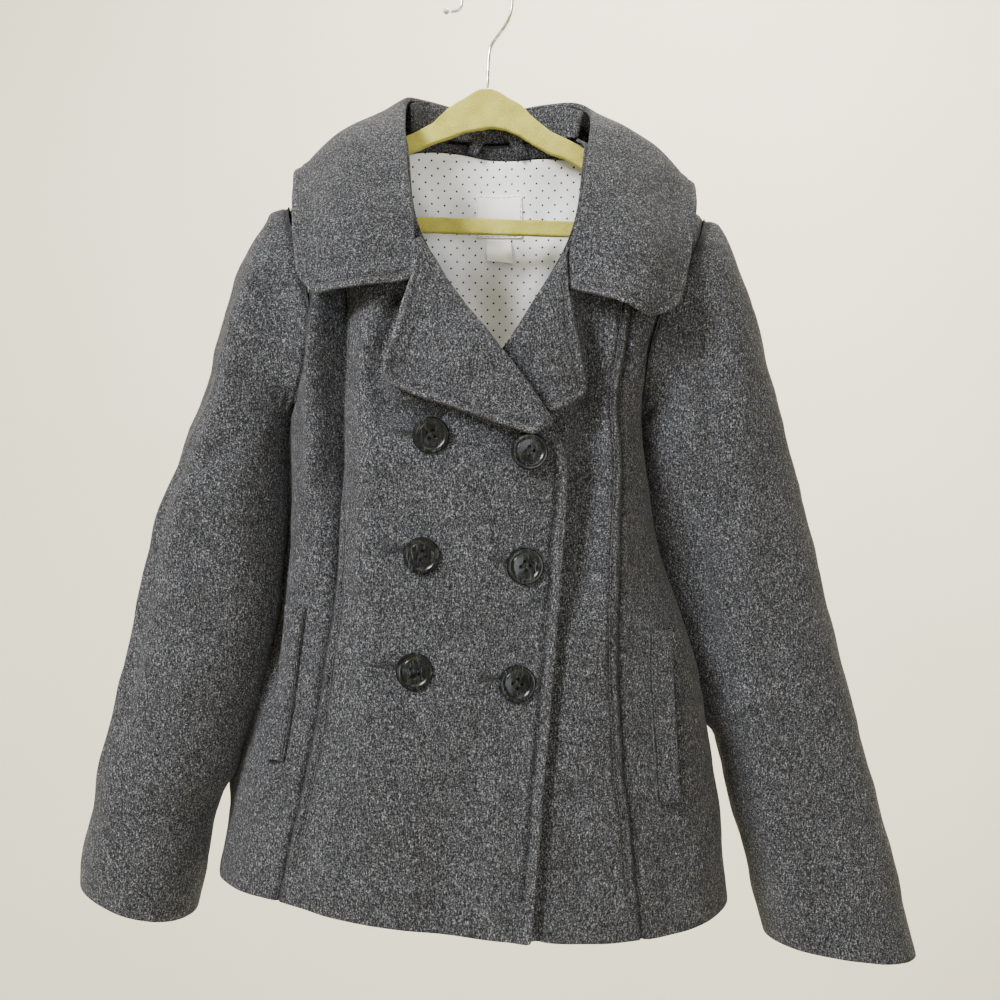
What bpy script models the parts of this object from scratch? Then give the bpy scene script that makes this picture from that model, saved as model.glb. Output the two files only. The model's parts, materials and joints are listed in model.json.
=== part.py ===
"""Girls' double-breasted pea coat on its hanger, as closed solids in metres, +Z up.

The origin is the inner top of the wire hook. +X is the viewer's right, -Y faces the viewer
and +Y the wall. Sizes and tables are in millimetres. The torso is one master surface, from
level rows between the shoulder line (fall 0) and the hem (fall 1), and every piece of cloth
is a stretch of it, or lies on it, moved out.
"""
import math
from collections import namedtuple

import bmesh
import bpy
from mathutils import Matrix, Vector

MM = 0.001

# Driving dimensions
WOOL = 2.4              # melton cloth
DOUBLE = 4.6            # two layers of it, as in the collar and lapels
LINING = 1.0
TAPE = 0.6              # woven labels
SEAM_GAP = 0.3          # between neighbouring pieces
ARMHOLE_GAP = 1.2       # the sleeve's side of the armhole, where walls meet at a sharp angle
SHOULDER_ROUND = 110.0  # over this drop the front and back reach their full depth
SECTION_POWER = 2.4     # 2 is an ellipse, more is fuller at the sides
SLEEVE_POWER = 2.2
UNDERLAP_LIFT = 3.4     # how far the top front stands over the under front
LAPEL_TUCK_LIFT = 5.2   # more of it where the under lapel slips beneath
LAPEL_TUCK = ((8, -284), (42, -334))      # the line it slips under, as x and z of its ends
LAPEL_TUCK_REACH = 40.0
LAPEL_GAP = 0.9         # between a lapel and the front it lies on
LYING_GAP = 0.8         # the same for a welt
COLLAR_CLEARANCE = 6.2  # how far the collar's outer face stays off the body
SLEEVE_EASE = [1.0, 0.62, 0.34, 0.14, 0.04]    # how far rings keep the armhole's own shape

BUTTON_R = 12.4
BUTTON_T = 3.4
HANGER_T = 6.0
WIRE_R = 1.3

# Rows of the torso grid, as falls; the first 11 reach the underarm
FALLS = [0.0, 0.011, 0.042, 0.08, 0.12, 0.16, 0.2, 0.24, 0.28, 0.315, 0.35,
         0.38, 0.42, 0.46, 0.5, 0.54, 0.58, 0.62, 0.66, 0.7, 0.75, 0.8, 0.85, 0.9, 0.95, 1.0]
UNDERARM = 10

Level = namedtuple("Level", "fall left right side_y front_y back_y")
LEVELS = [
    Level(0.00, -190, 205, 0, -58, 32),
    Level(0.10, -172, 182, -1, -64, 34),
    Level(0.20, -156, 146, -4, -72, 37),
    Level(0.28, -148, 128, -7, -78, 38),
    Level(0.35, -143, 113, -9, -82, 38),
    Level(0.43, -144, 117, -10, -86, 38),
    Level(0.52, -147, 125, -10, -88, 38),
    Level(0.60, -153, 141, -10, -89, 38),
    Level(0.67, -159, 153, -10, -90, 38),
    Level(0.75, -168, 161, -9, -92, 38),
    Level(0.85, -183, 168, -8, -94, 38),
    Level(1.00, -195, 175, -6, -96, 38),
]

Place = namedtuple("Place", "x z")
SHOULDER_LINE = [
    Place(-200, -212), Place(-146, -168), Place(-105, -138), Place(-60, -112), Place(-30, -101),
    Place(0, -97), Place(30, -102), Place(66, -117), Place(112, -142), Place(160, -177), Place(205, -214),
]

Hem = namedtuple("Hem", "across z")          # across runs from -1 to 1, side seam to side seam
HEM_FRONT = [
    Hem(-1.0, -652), Hem(-0.7, -657), Hem(-0.5, -663), Hem(-0.16, -671), Hem(0.2, -678),
    Hem(0.45, -681), Hem(0.72, -681), Hem(0.89, -678), Hem(1.0, -671),
]
HEM_BACK = [Hem(-1.0, -652), Hem(-0.5, -657), Hem(0.0, -662), Hem(0.5, -668), Hem(1.0, -671)]

# Seams and edges down the fronts
TOP_FRONT_EDGE = [
    Place(-60, -112), Place(-57, -125), Place(-55, -140), Place(-53, -163), Place(-50, -187),
    Place(-43, -206), Place(-28, -232), Place(-5, -264), Place(10, -285), Place(27, -309),
    Place(42, -336), Place(52, -356), Place(52, -390), Place(50, -432), Place(47, -470),
    Place(44, -510), Place(40, -555), Place(36, -603), Place(33, -640), Place(30, -678),
]
UNDER_FRONT_EDGE = [
    Place(66, -117), Place(71, -126), Place(69, -142), Place(66, -168), Place(62, -190),
    Place(55, -212), Place(37, -241), Place(22, -267), Place(10, -284), Place(-12, -312),
    Place(-40, -340), Place(-66, -362), Place(-72, -390), Place(-73, -470), Place(-74, -560), Place(-76, -672),
]
TOP_PRINCESS = [
    Place(-105, -138), Place(-104, -180), Place(-103, -250), Place(-103, -350), Place(-104, -450),
    Place(-110, -500), Place(-114, -528), Place(-121, -566), Place(-129, -602), Place(-137, -640), Place(-141, -657),
]
UNDER_PRINCESS = [
    Place(115, -144), Place(107, -195), Place(100, -255), Place(95, -290), Place(92, -337), Place(91, -402),
    Place(90, -450), Place(90, -506), Place(92, -561), Place(97, -598), Place(101, -643), Place(105, -681),
]
LEFT_ARMHOLE_FRONT = [
    Place(-146, -168), Place(-140, -190), Place(-129, -220), Place(-122, -255), Place(-124, -285),
    Place(-132, -312), Place(-143, -339),
]
LEFT_ARMHOLE_BACK = [
    Place(-146, -168), Place(-141, -195), Place(-134, -235), Place(-131, -275), Place(-135, -310), Place(-143, -339),
]
RIGHT_ARMHOLE_FRONT = [
    Place(160, -177), Place(151, -203), Place(135, -228), Place(122, -253), Place(114, -276),
    Place(110, -302), Place(113, -333),
]
RIGHT_ARMHOLE_BACK = [
    Place(160, -177), Place(149, -205), Place(133, -240), Place(119, -275), Place(110, -308), Place(113, -333),
]

# Long soft folds: height is out (+) or in (-) of the surface
Fold = namedtuple("Fold", "x_top z_top x_low z_low width height")
FRONT_FOLDS = [
    Fold(-102, -215, -104, -455, 9, -6.0),
    Fold(-119, -250, -122, -440, 9, 3.0),
    Fold(-78, -250, -66, -560, 16, 2.5),
    Fold(66, -300, 60, -400, 10, -5.0),
    Fold(104, -250, 106, -350, 6, 2.5),
    Fold(-82, -500, -92, -690, 20, 3.5),
    Fold(-12, -540, -20, -700, 22, -3.0),
    Fold(70, -470, 78, -690, 16, 3.0),
    Fold(136, -560, 146, -690, 14, 3.0),
    Fold(-160, -560, -166, -680, 13, 3.0),
]
BACK_FOLDS = [
    Fold(-70, -210, -92, -670, 18, 4.0),
    Fold(-20, -300, -26, -670, 20, -3.5),
    Fold(58, -220, 74, -680, 18, 4.0),
    Fold(110, -330, 126, -680, 14, -3.0),
    Fold(-120, -340, -140, -660, 14, -3.0),
]

# Sleeve rings: silhouette points and depths, from the armhole ring to the cuff
Ring = namedtuple("Ring", "outer_x outer_z inner_x inner_z front_y back_y")
LEFT_SLEEVE = [
    Ring(-146, -168, -143, -339, -44, 26),
    Ring(-158, -173, -149, -338, -46, 28),
    Ring(-169, -190, -152, -345, -50, 31),
    Ring(-183, -224, -152, -358, -54, 33),
    Ring(-194, -260, -151, -376, -57, 35),
    Ring(-205, -299, -150, -398, -58, 36),
    Ring(-218, -340, -151, -420, -59, 36),
    Ring(-231, -386, -153, -448, -59, 35),
    Ring(-243, -434, -157, -476, -58, 34),
    Ring(-253, -478, -163, -505, -57, 33),
    Ring(-263, -517, -171, -534, -55, 32),
    Ring(-273, -556, -181, -566, -54, 31),
    Ring(-281, -594, -191, -600, -53, 30),
    Ring(-288, -628, -200, -638, -52, 29),
    Ring(-292, -656, -208, -680, -50, 28),
]
RIGHT_SLEEVE = [
    Ring(160, -177, 113, -333, -36, 26),
    Ring(170, -181, 120, -332, -38, 29),
    Ring(180, -194, 124, -341, -41, 33),
    Ring(191, -227, 126, -359, -45, 37),
    Ring(202, -268, 127, -386, -47, 39),
    Ring(213, -310, 128, -416, -48, 40),
    Ring(225, -355, 134, -442, -49, 40),
    Ring(237, -402, 144, -470, -50, 39),
    Ring(249, -452, 155, -502, -50, 38),
    Ring(260, -498, 163, -536, -50, 37),
    Ring(271, -542, 172, -576, -49, 36),
    Ring(282, -585, 181, -612, -48, 34),
    Ring(293, -628, 189, -646, -47, 32),
    Ring(304, -670, 196, -678, -46, 31),
    Ring(314, -716, 205, -706, -45, 30),
]
RING_POINTS = 2 * UNDERARM

SleeveFold = namedtuple("SleeveFold", "start end angle spread height")   # angle 90 faces the viewer
LEFT_SLEEVE_FOLDS = [
    SleeveFold(1, 13, 62, 18, 4.0),
    SleeveFold(2, 12, 32, 14, -4.0),
    SleeveFold(3, 9, 118, 16, -4.0),
    SleeveFold(6, 14, 96, 16, 2.5),
    SleeveFold(3, 13, 270, 24, -4.0),
    SleeveFold(5, 12, 228, 20, 3.0),
]
RIGHT_SLEEVE_FOLDS = [
    SleeveFold(1, 9, 136, 16, -6.0),
    SleeveFold(2, 11, 104, 18, 3.0),
    SleeveFold(4, 13, 60, 18, -3.0),
    SleeveFold(9, 14, 118, 18, 2.5),
    SleeveFold(3, 12, 262, 22, -4.0),
    SleeveFold(5, 13, 308, 20, 3.0),
]

# Lapels: each section runs from the roll line to the outer edge
Section = namedtuple("Section", "roll_x roll_z edge_x edge_z")
TOP_LAPEL = [
    Section(-42, -207, -46, -213), Section(-36, -217, -46, -226), Section(-28, -232, -47.5, -238.5),
    Section(-22, -242, -52.5, -250), Section(-17, -250, -58, -271), Section(-10, -258, -65, -289),
    Section(-4, -266, -67, -300), Section(3, -275, -62, -308.5), Section(10, -285, -50, -315),
    Section(19, -297, -30, -321), Section(28, -310, -5, -329), Section(36, -323, 12, -335),
    Section(43, -336, 30, -341),
]
UNDER_LAPEL = [
    Section(55.5, -213, 55, -217), Section(47, -226, 53, -231), Section(38, -240, 53, -246.5),
    Section(30, -253, 57.5, -261), Section(22, -267, 60, -275), Section(16, -275, 63, -289),
    Section(12, -282, 66, -303), Section(11, -292, 65, -311), Section(14, -303, 60, -317),
    Section(21, -316, 53, -321), Section(30, -328, 44, -326),
]
LAPEL_COLUMNS = 7

# Collar: each section runs from the roll line, over a middle, to the outer edge
Leaf = namedtuple("Leaf", "roll_x roll_y roll_z mid_x mid_y mid_z edge_x edge_y edge_z")
COLLAR = [
    Leaf(-50, -74, -236, -84, -84, -241, -114, -70, -244),
    Leaf(-49, -73, -229, -86, -84, -234, -123, -64, -237),
    Leaf(-48, -69, -214, -89, -80, -218, -131, -57, -221),
    Leaf(-49, -62, -187, -92, -70, -187, -136, -42, -185),
    Leaf(-53, -51, -163, -95, -54, -159, -139, -26, -162),
    Leaf(-55, -37, -138, -98, -38, -131, -139, -10, -148),
    Leaf(-58, -22, -113, -101, -15, -112, -138, 8, -145),
    Leaf(-61, 0, -88, -98, 16, -108, -129, 28, -154),
    Leaf(-52, 20, -81, -82, 38, -114, -109, 43, -171),
    Leaf(-30, 30, -84, -46, 48, -127, -62, 50, -184),
    Leaf(0, 33, -87, 0, 52, -132, 0, 51, -190),
    Leaf(32, 30, -86, 50, 48, -131, 68, 50, -189),
    Leaf(60, 20, -84, 94, 38, -120, 119, 43, -178),
    Leaf(76, 3, -93, 111, 16, -117, 139, 28, -162),
    Leaf(75, -20, -112, 116, -14, -120, 148, 8, -152),
    Leaf(72, -32, -131, 114, -30, -134, 150, -10, -159),
    Leaf(69, -43, -152, 109, -46, -157, 148, -26, -178),
    Leaf(66, -53, -172, 106, -62, -182, 144, -42, -203),
    Leaf(61, -62, -193, 101, -76, -212, 138, -54, -231),
    Leaf(56, -68, -217, 97, -83, -239, 131, -62, -249),
    Leaf(55, -71, -233, 90, -85, -247, 120, -70, -257),
    Leaf(55, -72, -241, 85, -85, -250, 108, -74, -257),
]
COLLAR_COLUMNS = 7
COLLAR_STEPS = 2               # rows built for each step of the table
STAND_ROWS = slice(7, 14)      # the collar rows round the back of the neck
STAND_DROP = 3.7               # its top edge below the roll line
STAND_INSET = 4.1              # and in from it, just inside the fall
NECK_SEAM = [(-57, 4, -110.5), (-50, 10, -112.5), (-30, 16, -115), (0, 19, -116.5),
             (32, 16, -116), (58, 10, -114.5), (68, 5, -115.5)]

# Inside the back: the back's neck edge, the facing strip, the lining, the labels and the loop
FACING = 1.6
FACING_GAP = 1.4
LINING_GAP = 0.5
LABEL_GAP = 1.1             # clear of the lining's facets behind them
BACK_NECK = [Place(-66, -115), Place(-58, -113.5), Place(-30, -116.6), Place(0, -118),
             Place(32, -117.5), Place(62, -118), Place(72, -120)]
FACING_TOP = [Place(-52, -116), Place(-30, -117.6), Place(0, -119), Place(32, -118.6), Place(56, -120)]
LINING_TOP = [Place(-135, -176), Place(-105, -153), Place(-74, -134), Place(-60, -124), Place(-34, -122),
              Place(-15, -124), Place(-5, -127.5), Place(19, -129), Place(40, -126.5), Place(60, -126),
              Place(78, -139), Place(112, -158), Place(146, -184)]
NECK_LABEL = [Place(-9, -152), Place(27, -153), Place(27, -184.5), Place(-9, -184)]
SIZE_TAG = [Place(-1, -185.2), Place(18, -185.6), Place(20, -204), Place(-0.5, -202)]
LOOP_HALF = 4.2             # half the strap's width
LOOP_THICK = 3.0
LOOP_Y = 10.5
LOOP_FOOT_BACK = 1.4        # its feet reach back to the facing
LOOP_ROUTE = [Place(-12, -126), Place(-8, -118), Place(-2, -111.5), Place(5, -107.5),
              Place(12, -108), Place(18, -112), Place(23, -119), Place(27, -128)]

# Pocket welts: the free opening side and the sewn side
Welt = namedtuple("Welt", "open_x sewn_x z")
LEFT_WELT = [Welt(-138, -123, -458), Welt(-141, -126, -484), Welt(-144, -129, -510), Welt(-147, -133, -536),
             Welt(-151, -137, -563)]
RIGHT_WELT = [Welt(126, 111, -475), Welt(126, 111, -504), Welt(127, 112, -533), Welt(129, 114, -562),
              Welt(131, 116, -591)]

Button = namedtuple("Button", "name x z")
BUTTONS = [
    Button("button_1", -36, -342), Button("button_2", 28, -353),
    Button("button_3", -42, -422), Button("button_4", 26, -429),
    Button("button_5", -47, -499), Button("button_6", 21, -507),
]

# Hanger: heights of the arms' upper and lower edges, then the bar's
Arm = namedtuple("Arm", "x upper lower")
HANGER_ARMS = [
    Arm(-137, -170, -181), Arm(-122, -157.3, -171), Arm(-100, -141.7, -156), Arm(-76, -126.7, -141),
    Arm(-58, -116.2, -128), Arm(-48, -112, -125), Arm(-38, -106, -120), Arm(-28, -96, -117),
    Arm(-15, -88, -112), Arm(-3, -82, -110), Arm(3, -82, -109), Arm(15, -88, -111),
    Arm(29, -97, -118), Arm(38, -107, -124), Arm(48, -114, -129), Arm(60, -119.4, -133),
    Arm(78, -129.7, -145), Arm(102, -144.2, -158), Arm(126, -160.7, -174), Arm(144, -175.8, -187),
]
BAR_UPPER, BAR_LOWER, BAR_TILT = -178, -188, -0.03
BAR_HALF = 128
HANGER_STEPS = 26
HANGER_CROWN = [-20, -10, -4, 4, 10, 21]        # more points where the crown bends
HANGER_RIGHT_END = [Place(148, -184), Place(146, -192)]
HANGER_LEFT_END = [Place(-139, -184), Place(-141, -178)]

# The wire hook: its stem, a round bend about a centre, and its tail
HOOK_STEM = [(0.4, -80.8),(0.8, -66), (1.5, -51.5), (5, -45), (11, -38), (16, -30)]
HOOK_CENTRE_Z, HOOK_BEND_R = -17.5, 18.8
HOOK_BEND_FROM, HOOK_BEND_TO, HOOK_BEND_STEPS = -22, 186, 14
HOOK_TAIL = [(-20, -22), (-23, -23.4), (-27.5, -23.4)]
HOOK_TIP_R = 2.3


class Curve:
    """A smooth curve through (place, value) pairs, which never runs past its values."""

    def __init__(self, pairs):
        pairs = sorted(pairs)
        self.places = [place for place, _ in pairs]
        self.values = [value for _, value in pairs]
        steps = [(self.values[i + 1] - self.values[i]) / (self.places[i + 1] - self.places[i])
                 for i in range(len(pairs) - 1)]
        between = [2 * a * b / (a + b) if a * b > 0 else 0.0 for a, b in zip(steps, steps[1:])]
        self.slopes = [steps[0]] + between + [steps[-1]]

    def __call__(self, place):
        places, values, slopes = self.places, self.values, self.slopes
        if place <= places[0]:
            return values[0] + slopes[0] * (place - places[0])
        if place >= places[-1]:
            return values[-1] + slopes[-1] * (place - places[-1])
        i = max(n for n in range(len(places) - 1) if places[n] <= place)
        width = places[i + 1] - places[i]
        s = (place - places[i]) / width
        return (values[i] * (1 + 2 * s) * (1 - s) ** 2 + values[i + 1] * s * s * (3 - 2 * s)
                + width * (slopes[i] * s * (1 - s) ** 2 - slopes[i + 1] * s * s * (1 - s)))


def column(rows, key, value):
    """The curve of one column of a table against another."""
    return Curve([(getattr(row, key), getattr(row, value)) for row in rows])


def clamp(value, low=0.0, high=1.0):
    return max(low, min(high, value))


def smoothstep(value):
    value = clamp(value)
    return value * value * (3 - 2 * value)


def mix(a, b, share):
    return a + (b - a) * share


LEFT = column(LEVELS, "fall", "left")
RIGHT = column(LEVELS, "fall", "right")
SIDE_Y = column(LEVELS, "fall", "side_y")
FRONT_Y = column(LEVELS, "fall", "front_y")
BACK_Y = column(LEVELS, "fall", "back_y")
SHOULDER = column(SHOULDER_LINE, "x", "z")
HEMS = {-1: column(HEM_FRONT, "across", "z"), 1: column(HEM_BACK, "across", "z")}
FRONT, BACK = -1, 1


# The torso's master surface

def fold_height(folds, x, z):
    """The sum of the soft folds at a place, each a bell across and faded at its ends."""
    total = 0.0
    for fold in folds:
        along = (fold.z_top - z) / (fold.z_top - fold.z_low)
        if -0.15 < along < 1.15:
            middle = mix(fold.x_top, fold.x_low, along)
            fade = smoothstep((along + 0.15) / 0.3) * smoothstep((1.15 - along) / 0.3)
            total += fold.height * fade * math.exp(-((x - middle) / fold.width) ** 2)
    return total


def torso(side, angle, fall):
    """The torso's outer point, at an angle of -90 to 90 degrees across and a fall down it."""
    across = math.sin(math.radians(angle))
    x = mix(LEFT(fall), RIGHT(fall), (across + 1) / 2)
    top = SHOULDER(x)
    z = mix(top, HEMS[side](across), fall)
    drop = clamp((top - z) / SHOULDER_ROUND)
    rounding = math.sqrt(1 - (1 - drop) ** 2)
    profile = (1 - abs(across) ** SECTION_POWER) ** (1 / SECTION_POWER) if abs(across) < 1 else 0.0
    depth = (FRONT_Y if side == FRONT else BACK_Y)(fall) - SIDE_Y(fall)
    folds = FRONT_FOLDS if side == FRONT else BACK_FOLDS
    ease = smoothstep(profile * 1.6)
    y = SIDE_Y(fall) + depth * profile * rounding + side * ease * fold_height(folds, x, z)
    return Vector((x, y, z))


def locate(side, x, z):
    """The angle and fall of the torso's surface behind or before a place."""
    fall = 0.5
    for _ in range(40):
        left, right = LEFT(fall), RIGHT(fall)
        across = clamp(2 * (x - left) / (right - left) - 1, -1.0, 1.0)
        top = SHOULDER(x)
        fall = clamp((top - z) / (top - HEMS[side](across)))
    return math.degrees(math.asin(across)), fall


def torso_normal(side, angle, fall):
    """The outward normal, from short steps along the surface that stay on it."""
    turn, step = 0.4, 0.0008
    a0, a1 = max(-90.0, angle - turn), min(90.0, angle + turn)
    f0, f1 = max(0.0, fall - step), min(1.0, fall + step)
    along = torso(side, a1, fall) - torso(side, a0, fall)
    down = torso(side, angle, f1) - torso(side, angle, f0)
    normal = along.cross(down) * side
    if fall == 0.0:
        normal.y = 0.0
    return normal.normalized()


def seam(side, places):
    """A seam down the torso, as a curve of angle against fall."""
    pairs = []
    for place in places:
        angle, fall = locate(side, place.x, place.z)
        if not pairs or fall > pairs[-1][0] + 1e-6:
            pairs.append((fall, angle))
    return Curve(pairs)


def armhole_seam(side, places, edge_angle):
    """The outer edge of a front or back: the armhole, then the side seam below it."""
    curve = seam(side, places)
    underarm = FALLS[UNDERARM]
    last = curve.places[-1]

    def angle(fall):
        return edge_angle if fall >= underarm - 1e-6 else curve(fall / underarm * last)
    return angle


# Walls of cloth

def body_from_grids(outer, inner, closed=False):
    """A closed wall between two grids of points, open or closed across its rows."""
    mesh = bmesh.new()
    rows, cols = len(outer), len(outer[0])
    skins = [[[mesh.verts.new(point * MM) for point in row] for row in grid] for grid in (outer, inner)]
    out, inn = skins
    spans = cols if closed else cols - 1
    for r in range(rows - 1):
        for c in range(spans):
            d = (c + 1) % cols
            mesh.faces.new((out[r][c], out[r][d], out[r + 1][d], out[r + 1][c]))
            mesh.faces.new((inn[r][c], inn[r + 1][c], inn[r + 1][d], inn[r][d]))
    for c in range(spans):
        d = (c + 1) % cols
        mesh.faces.new((out[0][d], out[0][c], inn[0][c], inn[0][d]))
        mesh.faces.new((out[-1][c], out[-1][d], inn[-1][d], inn[-1][c]))
    if not closed:
        for r in range(rows - 1):
            mesh.faces.new((out[r][0], out[r + 1][0], inn[r + 1][0], inn[r][0]))
            mesh.faces.new((out[r + 1][-1], out[r][-1], inn[r][-1], inn[r + 1][-1]))
    bmesh.ops.recalc_face_normals(mesh, faces=mesh.faces[:])
    return mesh


def add_piece(name, mesh, material, collection):
    """Put a bmesh into the coat's collection as one named object."""
    data = bpy.data.meshes.new(name)
    mesh.to_mesh(data)
    mesh.free()
    data.shade_smooth()
    data.set_sharp_from_angle(angle=math.radians(40))
    data.materials.append(material)
    piece = bpy.data.objects.new(name, data)
    collection.objects.link(piece)
    return piece


def grid_normals(grid, closed=False):
    """Unit normals of a grid of points, from its neighbours; rows cross down."""
    rows, cols = len(grid), len(grid[0])
    normals = []
    for r in range(rows):
        line = []
        for c in range(cols):
            if closed:
                across = grid[r][(c + 1) % cols] - grid[r][(c - 1) % cols]
            else:
                across = grid[r][min(c + 1, cols - 1)] - grid[r][max(c - 1, 0)]
            down = grid[min(r + 1, rows - 1)][c] - grid[max(r - 1, 0)][c]
            line.append(across.cross(down).normalized())
        normals.append(line)
    return normals


def offset_grid(grid, normals, distance):
    return [[point + normal * distance for point, normal in zip(points, lines)]
            for points, lines in zip(grid, normals)]


def shrink(grid, top=False, bottom=False, left=False, right=False):
    """Draw the chosen edges in by half a seam gap, so neighbours stay a gap apart."""
    half = SEAM_GAP / 2
    moved = [row[:] for row in grid]
    for r, row in enumerate(grid):
        if left:
            moved[r][0] = row[0] + (row[1] - row[0]).normalized() * half
        if right:
            moved[r][-1] = row[-1] + (row[-2] - row[-1]).normalized() * half
    for c in range(len(grid[0])):
        if top:
            moved[0][c] = moved[0][c] + (grid[1][c] - grid[0][c]).normalized() * half
        if bottom:
            moved[-1][c] = moved[-1][c] + (grid[-2][c] - grid[-1][c]).normalized() * half
    return moved


# Body panels

def panel_grids(side, left, right, columns, top=None, lift=None):
    """Outer points and normals of a stretch of torso between two seams.

    left and right give an angle for a fall; top gives the fall where each column starts.
    """
    grid, normals = [], []
    for fall in FALLS:
        points, lines = [], []
        for c in range(columns):
            share = c / (columns - 1)
            start = top(share) if top else 0.0
            here = mix(start, 1.0, fall)
            angle = mix(left(here), right(here), share)
            point, normal = torso(side, angle, here), torso_normal(side, angle, here)
            if lift:
                point = point + normal * lift(point.x, point.z)
            points.append(point)
            lines.append(normal)
        grid.append(points)
        normals.append(lines)
    return grid, normals


def top_front_lift(x, z):
    """How far the top front stands out, over the under front and the tucked lapel."""
    beside_seam = smoothstep((x + 100) / 18)
    below_crossing = smoothstep((-236 - z) / 34)
    start, end = (Vector(place) for place in LAPEL_TUCK)
    run = end - start
    share = clamp((Vector((x, z)) - start).dot(run) / run.length_squared)
    distance = (Vector((x, z)) - start - run * share).length
    tuck = smoothstep((LAPEL_TUCK_REACH - distance) / (LAPEL_TUCK_REACH * 0.6))
    return beside_seam * below_crossing * (UNDERLAP_LIFT + LAPEL_TUCK_LIFT * tuck)


def front_surface(x, z, lifted):
    """A point of the fronts' outer surface and its normal; lifted is the top front's."""
    angle, fall = locate(FRONT, x, z)
    point, normal = torso(FRONT, angle, fall), torso_normal(FRONT, angle, fall)
    if lifted:
        point = point + normal * top_front_lift(x, z)
    return point, normal


class Armhole:
    """One armhole: its seams on the front and back, its sleeve's rings and shared normals."""

    def __init__(self, front_places, back_places, edge_angle, rings, folds):
        self.front = armhole_seam(FRONT, front_places, edge_angle)
        self.back = armhole_seam(BACK, back_places, edge_angle)
        self.sign = 1 if edge_angle > 0 else -1
        self.grid = self.sleeve_grid(rings, folds)
        sleeve = grid_normals(self.grid, closed=True)
        self.normals = [[line * self.sign for line in row] for row in sleeve]
        for j in range(RING_POINTS):
            self.normals[0][j] = (self.normals[0][j] + self.body_normal(j)).normalized()

    def loop_place(self, j):
        """Which side, angle and fall the loop's point j has, from the shoulder round the front."""
        row = j if j <= UNDERARM else RING_POINTS - j
        side = FRONT if j <= UNDERARM else BACK
        curve = self.front if side == FRONT else self.back
        return side, curve(FALLS[row]), FALLS[row]

    def body_normal(self, j):
        return torso_normal(*self.loop_place(j))

    def ring_point(self, ring, j):
        """A point of a table ring: superellipse from outer edge round the front to inner."""
        turn = 2 * math.pi * j / RING_POINTS
        across = math.copysign(abs(math.cos(turn)) ** (2 / SLEEVE_POWER), math.cos(turn))
        depth = math.copysign(abs(math.sin(turn)) ** (2 / SLEEVE_POWER), math.sin(turn))
        share = (1 + across) / 2
        middle, half = (ring.front_y + ring.back_y) / 2, (ring.back_y - ring.front_y) / 2
        return Vector((mix(ring.inner_x, ring.outer_x, share), middle - half * depth,
                       mix(ring.inner_z, ring.outer_z, share)))

    def sleeve_grid(self, rings, folds):
        """The sleeve's outer points; the first rings ease from the armhole's own loop."""
        loop = [torso(*self.loop_place(j)) for j in range(RING_POINTS)]
        grid = []
        for k, ring in enumerate(rings):
            weight = SLEEVE_EASE[k] if k < len(SLEEVE_EASE) else 0.0
            centre = Vector(((ring.inner_x + ring.outer_x) / 2, (ring.front_y + ring.back_y) / 2,
                             (ring.inner_z + ring.outer_z) / 2))
            points = []
            for j in range(RING_POINTS):
                point = self.ring_point(ring, j)
                moved = loop[j] + point - self.ring_point(rings[0], j)
                outward = (point - centre).normalized()
                point = point + outward * sleeve_fold(folds, k, 360 * j / RING_POINTS)
                points.append(point.lerp(moved, weight))
            grid.append(points)
        return grid

    def edge_normals(self, side):
        """The shared normals down the armhole edge of a panel, row by row."""
        rows = range(UNDERARM + 1)
        return [self.normals[0][r if side == FRONT else (RING_POINTS - r) % RING_POINTS] for r in rows]

    def sleeve_mesh(self):
        grid = [row[:] for row in self.grid]
        grid[0] = [a + (b - a).normalized() * ARMHOLE_GAP for a, b in zip(self.grid[0], self.grid[1])]
        return body_from_grids(grid, offset_grid(grid, self.normals, -WOOL), closed=True)


def sleeve_fold(folds, ring, degrees):
    total = 0.0
    for fold in folds:
        if fold.start <= ring <= fold.end:
            fade = smoothstep((ring - fold.start + 0.6) / 2) * smoothstep((fold.end - ring + 0.6) / 2)
            turn = (degrees - fold.angle + 180) % 360 - 180
            total += fold.height * fade * math.exp(-(turn / fold.spread) ** 2)
    return total


def panel_mesh(side, left, right, columns, top=None, lift=None, edges=("left", "right", "top"),
               armholes=()):
    """A panel's closed wall; armholes lists (column, armhole) pairs whose normals it shares."""
    grid, normals = panel_grids(side, left, right, columns, top, lift)
    for col, armhole in armholes:
        for row, normal in enumerate(armhole.edge_normals(side)):
            normals[row][col] = normal
    grid = shrink(grid, **{edge: True for edge in edges})
    return body_from_grids(grid, offset_grid(grid, normals, -WOOL))


def lying_piece(rows, lifted, bellies, thickness, columns, gap):
    """A piece that lies on the fronts: rows of (start x, start z, end x, end z).

    bellies gives how far each row's middle stands off.
    """
    outer, inner = [], []
    for (x0, z0, x1, z1), belly in zip(rows, bellies):
        out_row, in_row = [], []
        for c in range(columns):
            share = c / (columns - 1)
            point, normal = front_surface(mix(x0, x1, share), mix(z0, z1, share), lifted)
            stand = gap + belly * math.sin(math.pi * share)
            in_row.append(point + normal * stand)
            out_row.append(point + normal * (stand + thickness))
        outer.append(out_row)
        inner.append(in_row)
    return body_from_grids(outer, inner)


def lapel(sections, lifted, belly, tucked=0):
    """A lapel; its last rows, where it slips under the top front, lie flat."""
    rows = [(s.roll_x, s.roll_z, s.edge_x, s.edge_z) for s in sections]
    flat_from = len(rows) - tucked
    bellies = [belly if i < flat_from else 0.0 for i in range(len(rows))]
    return lying_piece(rows, lifted, bellies, DOUBLE, LAPEL_COLUMNS, LAPEL_GAP)


# Collar

def rounded(a, b, c, d, share):
    """A point between b and c on the smooth curve that passes through all four."""
    return (b * 2 + (c - a) * share + (a * 2 - b * 5 + c * 4 - d) * share ** 2
            + (b * 3 - a - c * 3 + d) * share ** 3) / 2


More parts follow.
